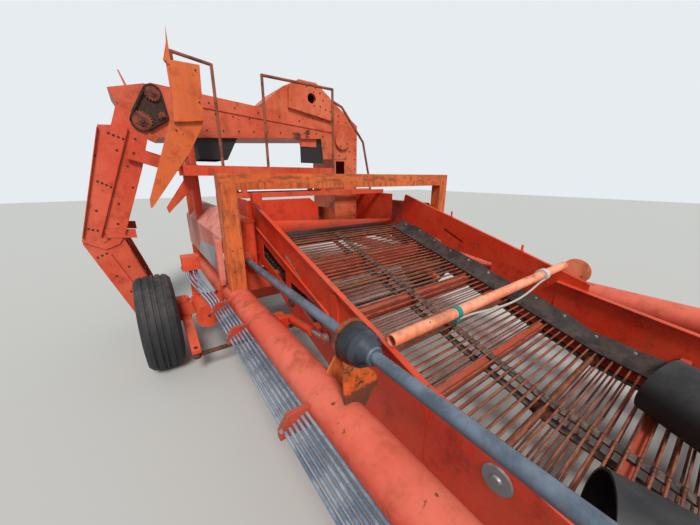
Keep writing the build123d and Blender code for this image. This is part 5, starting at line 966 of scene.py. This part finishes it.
# Slot cover on the web's right plate
# The far plate's slot isn't used, so a flat bar with bevelled edges closes it, painted like the
# plate.
slot_y, slot_z, slot_angle = 4.516, 0.621, math.atan(0.43)
cover_half_long, cover_half_wide = 0.172, 0.034
cover_along = Vector((0, math.cos(slot_angle), math.sin(slot_angle)))
cover_up = Vector((0, -math.sin(slot_angle), math.cos(slot_angle)))
cover_bm = bmesh.new()
cover_rings = []
for x, inset in ((2.0402, 0.0), (2.0432, 0.0), (2.0448, 0.0016)):
    half_long, half_wide = cover_along * (cover_half_long - inset), cover_up * (cover_half_wide - inset)
    middle = Vector((x, slot_y, slot_z))
    corners = [middle + half_long * a + half_wide * b for a, b in ((-1, -1), (1, -1), (1, 1), (-1, 1))]
    cover_rings.append([cover_bm.verts.new(corner) for corner in corners])
skin(cover_bm, cover_rings)
mounted(shape_of(cover_bm, "slot_cover"), "slot_cover", "web", deep_red)

# Blank plate on the left cover
# A thin pale sheet plate flat on the cover's side, bleached and streaked, with nothing on it.
left_of_cover_x = -0.6
plate_outline = ((6.120, 0.560), (5.300, 0.655), (5.420, 0.430), (6.250, 0.415))
plate_corners = [struck(["rear_covers"], (left_of_cover_x, y, z), (1, 0, 0)) for y, z in plate_outline]
plate_bm = bmesh.new()
plate_rings = []
for off in (-0.0005, 0.0018):
    plate_rings.append([plate_bm.verts.new(place + out * off) for place, out, _ in plate_corners])
skin(plate_bm, plate_rings)
pale_paint = painted(
    "pale_paint", (0.30, 0.34, 0.37), (0.48, 0.50, 0.50), rust_amount=0.35, fade=0.9, edge_wear=0.5,
    dirt=0.5,
)
mounted(shape_of(plate_bm, "pale_plate"), "pale_plate", "frame", pale_paint)

# Pipes up to the valve box
# Bent steel pipes that carry on from the ends of the long pipes, over the tube's cap, into the
# underside of the valve box.
valve_x, valve_y, valve_z, pipe_apart = -0.432, 5.285, 0.500, 0.026
pipe_ends = sorted(
    ((low.x + high.x) / 2, (low.z + high.z) / 2, high.y) for low, high in loose_parts("hydraulic_pipes")
)
pipe_lines = bpy.data.curves.new("valve_pipes", "CURVE")
pipe_lines.dimensions = "3D"
pipe_lines.bevel_depth = 0.0072
pipe_lines.bevel_resolution = 3
pipe_lines.resolution_u = 8
for i, (x, z, y) in enumerate(pipe_ends[:4]):
    aside = valve_x + (i - 1.5) * pipe_apart
    behind = 0.03 * (i % 2)
    route = (
        (x, y - 0.030, z), (x, y + 0.004, z), (x - 0.008, y + 0.020, z + 0.045),
        (aside, valve_y - 0.080, 0.440), (aside, valve_y - 0.040 + behind, 0.480),
        (aside, valve_y - 0.035 + behind, valve_z + 0.004),
    )
    smooth_line(pipe_lines, route)
bent = placed("valve_pipes_line", pipe_lines)
bent_mesh = drawn_mesh(bent)
bpy.data.objects.remove(bent)
bent_mesh.materials.clear()
mounted(bent_mesh, "valve_pipes", "frame", zinc)

# Pegs on the far plate
# Small turned and painted pegs that stand on the flange of the web's right plate.
peg_shape = turned(
    "plate_peg", ((0.016, 0), (0.016, 0.006), (0.010, 0.010), (0.010, 0.050), (0.006, 0.056)), 16,
)
peg_x, peg_ys = 2.030, (4.577, 3.815)
peg_hits = [struck(["web_rear_plates"], (peg_x, y, 1.5), downward) for y in peg_ys]
peg_spots = [(hit[0], (0, 0, 1), to_right) for hit in peg_hits if hit]
set_out("plate_pegs", "web", peg_shape, peg_spots, red_paint_with_painted_light)

# Wheel nuts
# Five plated nuts hold each wheel's dish to its hub.
tyre_low, tyre_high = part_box("tyre_left")
nut_circle = 0.060
for side_name, start_x, inward in (("left", -1.3, 1), ("right", 3.4, -1)):
    hub = Vector((start_x, (tyre_low[1] + tyre_high[1]) / 2, (tyre_low[2] + tyre_high[2]) / 2))
    turns = [2 * math.pi * i / 5 for i in range(5)]
    fixings(
        f"wheel_nuts_{side_name}", f"wheel_{side_name}", [f"rim_{side_name}"],
        [hub + Vector((0, nut_circle * math.cos(a), nut_circle * math.sin(a))) for a in turns],
        (inward, 0, 0), plated_bolt, across=0.020, height=0.014, stud=0.008,
    )

# Lid, cap and clamp bolts
# Set screws draw up the drive housing's lid, the side tubes' caps and the clamps on the long pipes.
lid_rows = (
    rows_at(4.9, ((-0.074, 0.45), (-0.074, 0.83), 4), ((0.102, 0.45), (0.102, 0.83), 4))
    + ring_at(4.8, -0.303, 0.184, 0.081, 6) + ring_at(4.8, 2.447, 0.184, 0.081, 6)
)
lidded = ["drive_housing", "side_tubes"]
fixings("lid_bolts", "frame", lidded, lid_rows, toward_rear, rusty_bolt, across=0.014)
clamp_ys = (1.500, 2.550, 3.578, 4.417, 4.860)
clamp_xs = (-0.236, -0.376)
clamp_starts = [(x, y, 0.8) for y in clamp_ys for x in clamp_xs]
fixings(
    "clamp_bolts", "frame", ["pipe_clamps"], clamp_starts, downward, plated_bolt, across=0.011,
    height=0.007,
)

# Shaft seal and the cross conveyor's chain wheels
# A turned steel seal round the drive shaft, pressed into the front of its housing, and two cut steel
# chain wheels on pins at the elevator tower.
seal_shape = turned(
    "shaft_seal",
    ((0.062, 0), (0.062, 0.010), (0.050, 0.013), (0.046, 0.026), (0.036, 0.030), (0.034, 0.030)), 32,
)
housing_front_y = struck(["drive_housing"], (0.060, 4.9, guard_axis_z + 0.05), toward_rear)[0].y
set_out(
    "shaft_seal", "frame", seal_shape, [((0, housing_front_y, guard_axis_z), toward_front, to_right)],
    chain_grease,
)
tower_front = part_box("elevator_tower")[0][1]
cross_bm = bmesh.new()
cross_wheel_faces = ((Vector((0.985, 1.690)), 0.044, 15), (Vector((1.130, 1.745)), 0.026, 10))
for centre, pitch_radius, teeth in cross_wheel_faces:
    teeth_outline = toothed(centre, pitch_radius, teeth, 0.007, 0.004)
    prism_y(cross_bm, teeth_outline, tower_front - 0.022, tower_front - 0.014)
    boss_outline = around(centre, [pitch_radius * 0.5] * 20)
    prism_y(cross_bm, boss_outline, tower_front - 0.032, tower_front + 0.012)
cross_shape = shape_of(cross_bm, "cross_drive_wheels")
mounted(cross_shape, "cross_drive_wheels", "frame", wheel_rust)

# Bearing bracket under the bell
# A thick rusted plate, hollowed at its top to clear the bell, welded upright on the left main tube
# with a gusset behind it.
tube_axis, tube_radius = Vector((-0.153, 0.280)), 0.0975
bracket_y = 3.450
bracket_outline = [
    (-0.043, 0.347), (-0.028, 0.385), (0.005, 0.394), (-0.003, 0.457), (-0.042, 0.496), (-0.083, 0.507),
    (-0.127, 0.533), (-0.168, 0.575), (-0.168, 0.480),
]
for angle in [math.radians(degrees) for degrees in range(96, 20, -8)]:
    foot = tube_axis + Vector((math.cos(angle), math.sin(angle))) * tube_radius
    bracket_outline.append((foot.x, foot.y))
gusset_outline = ((-0.067, 0.324), (-0.059, 0.312), (-0.059, 0.412), (-0.067, 0.412))
bracket_bm = bmesh.new()
prism_y(bracket_bm, bracket_outline, bracket_y - 0.006, bracket_y + 0.004)
prism_y(bracket_bm, gusset_outline, bracket_y + 0.004, bracket_y + 0.120)
bracket_paint = painted(
    "bracket_paint", (0.66, 0.105, 0.022), (0.76, 0.17, 0.04), rust_amount=0.70, edge_wear=1.0, fade=0.5,
    scale=1.6,
)
bracket_place = on_object(bracket_paint.node_tree)
bracket_up = wire("ShaderNodeSeparateXYZ", {0: bracket_place}, 2)
ragged = times(noise(bracket_place, 45, 8, 0.7), 0.08)
flaked = ramp(calc("ADD", bracket_up, ragged), 0.475, 0.455)
flakes = noise(bracket_place, 120, 5)
flake_tone = blend_colour(flakes, (0.045, 0.020, 0.014, 1), (0.22, 0.085, 0.045, 1))
recolour(bracket_paint, blend_colour(flaked, colour_of(bracket_paint), flake_tone))
bracket_shape = shape_of(bracket_bm, "bearing_bracket")
mounted(bracket_shape, "bearing_bracket", "frame", bracket_paint)
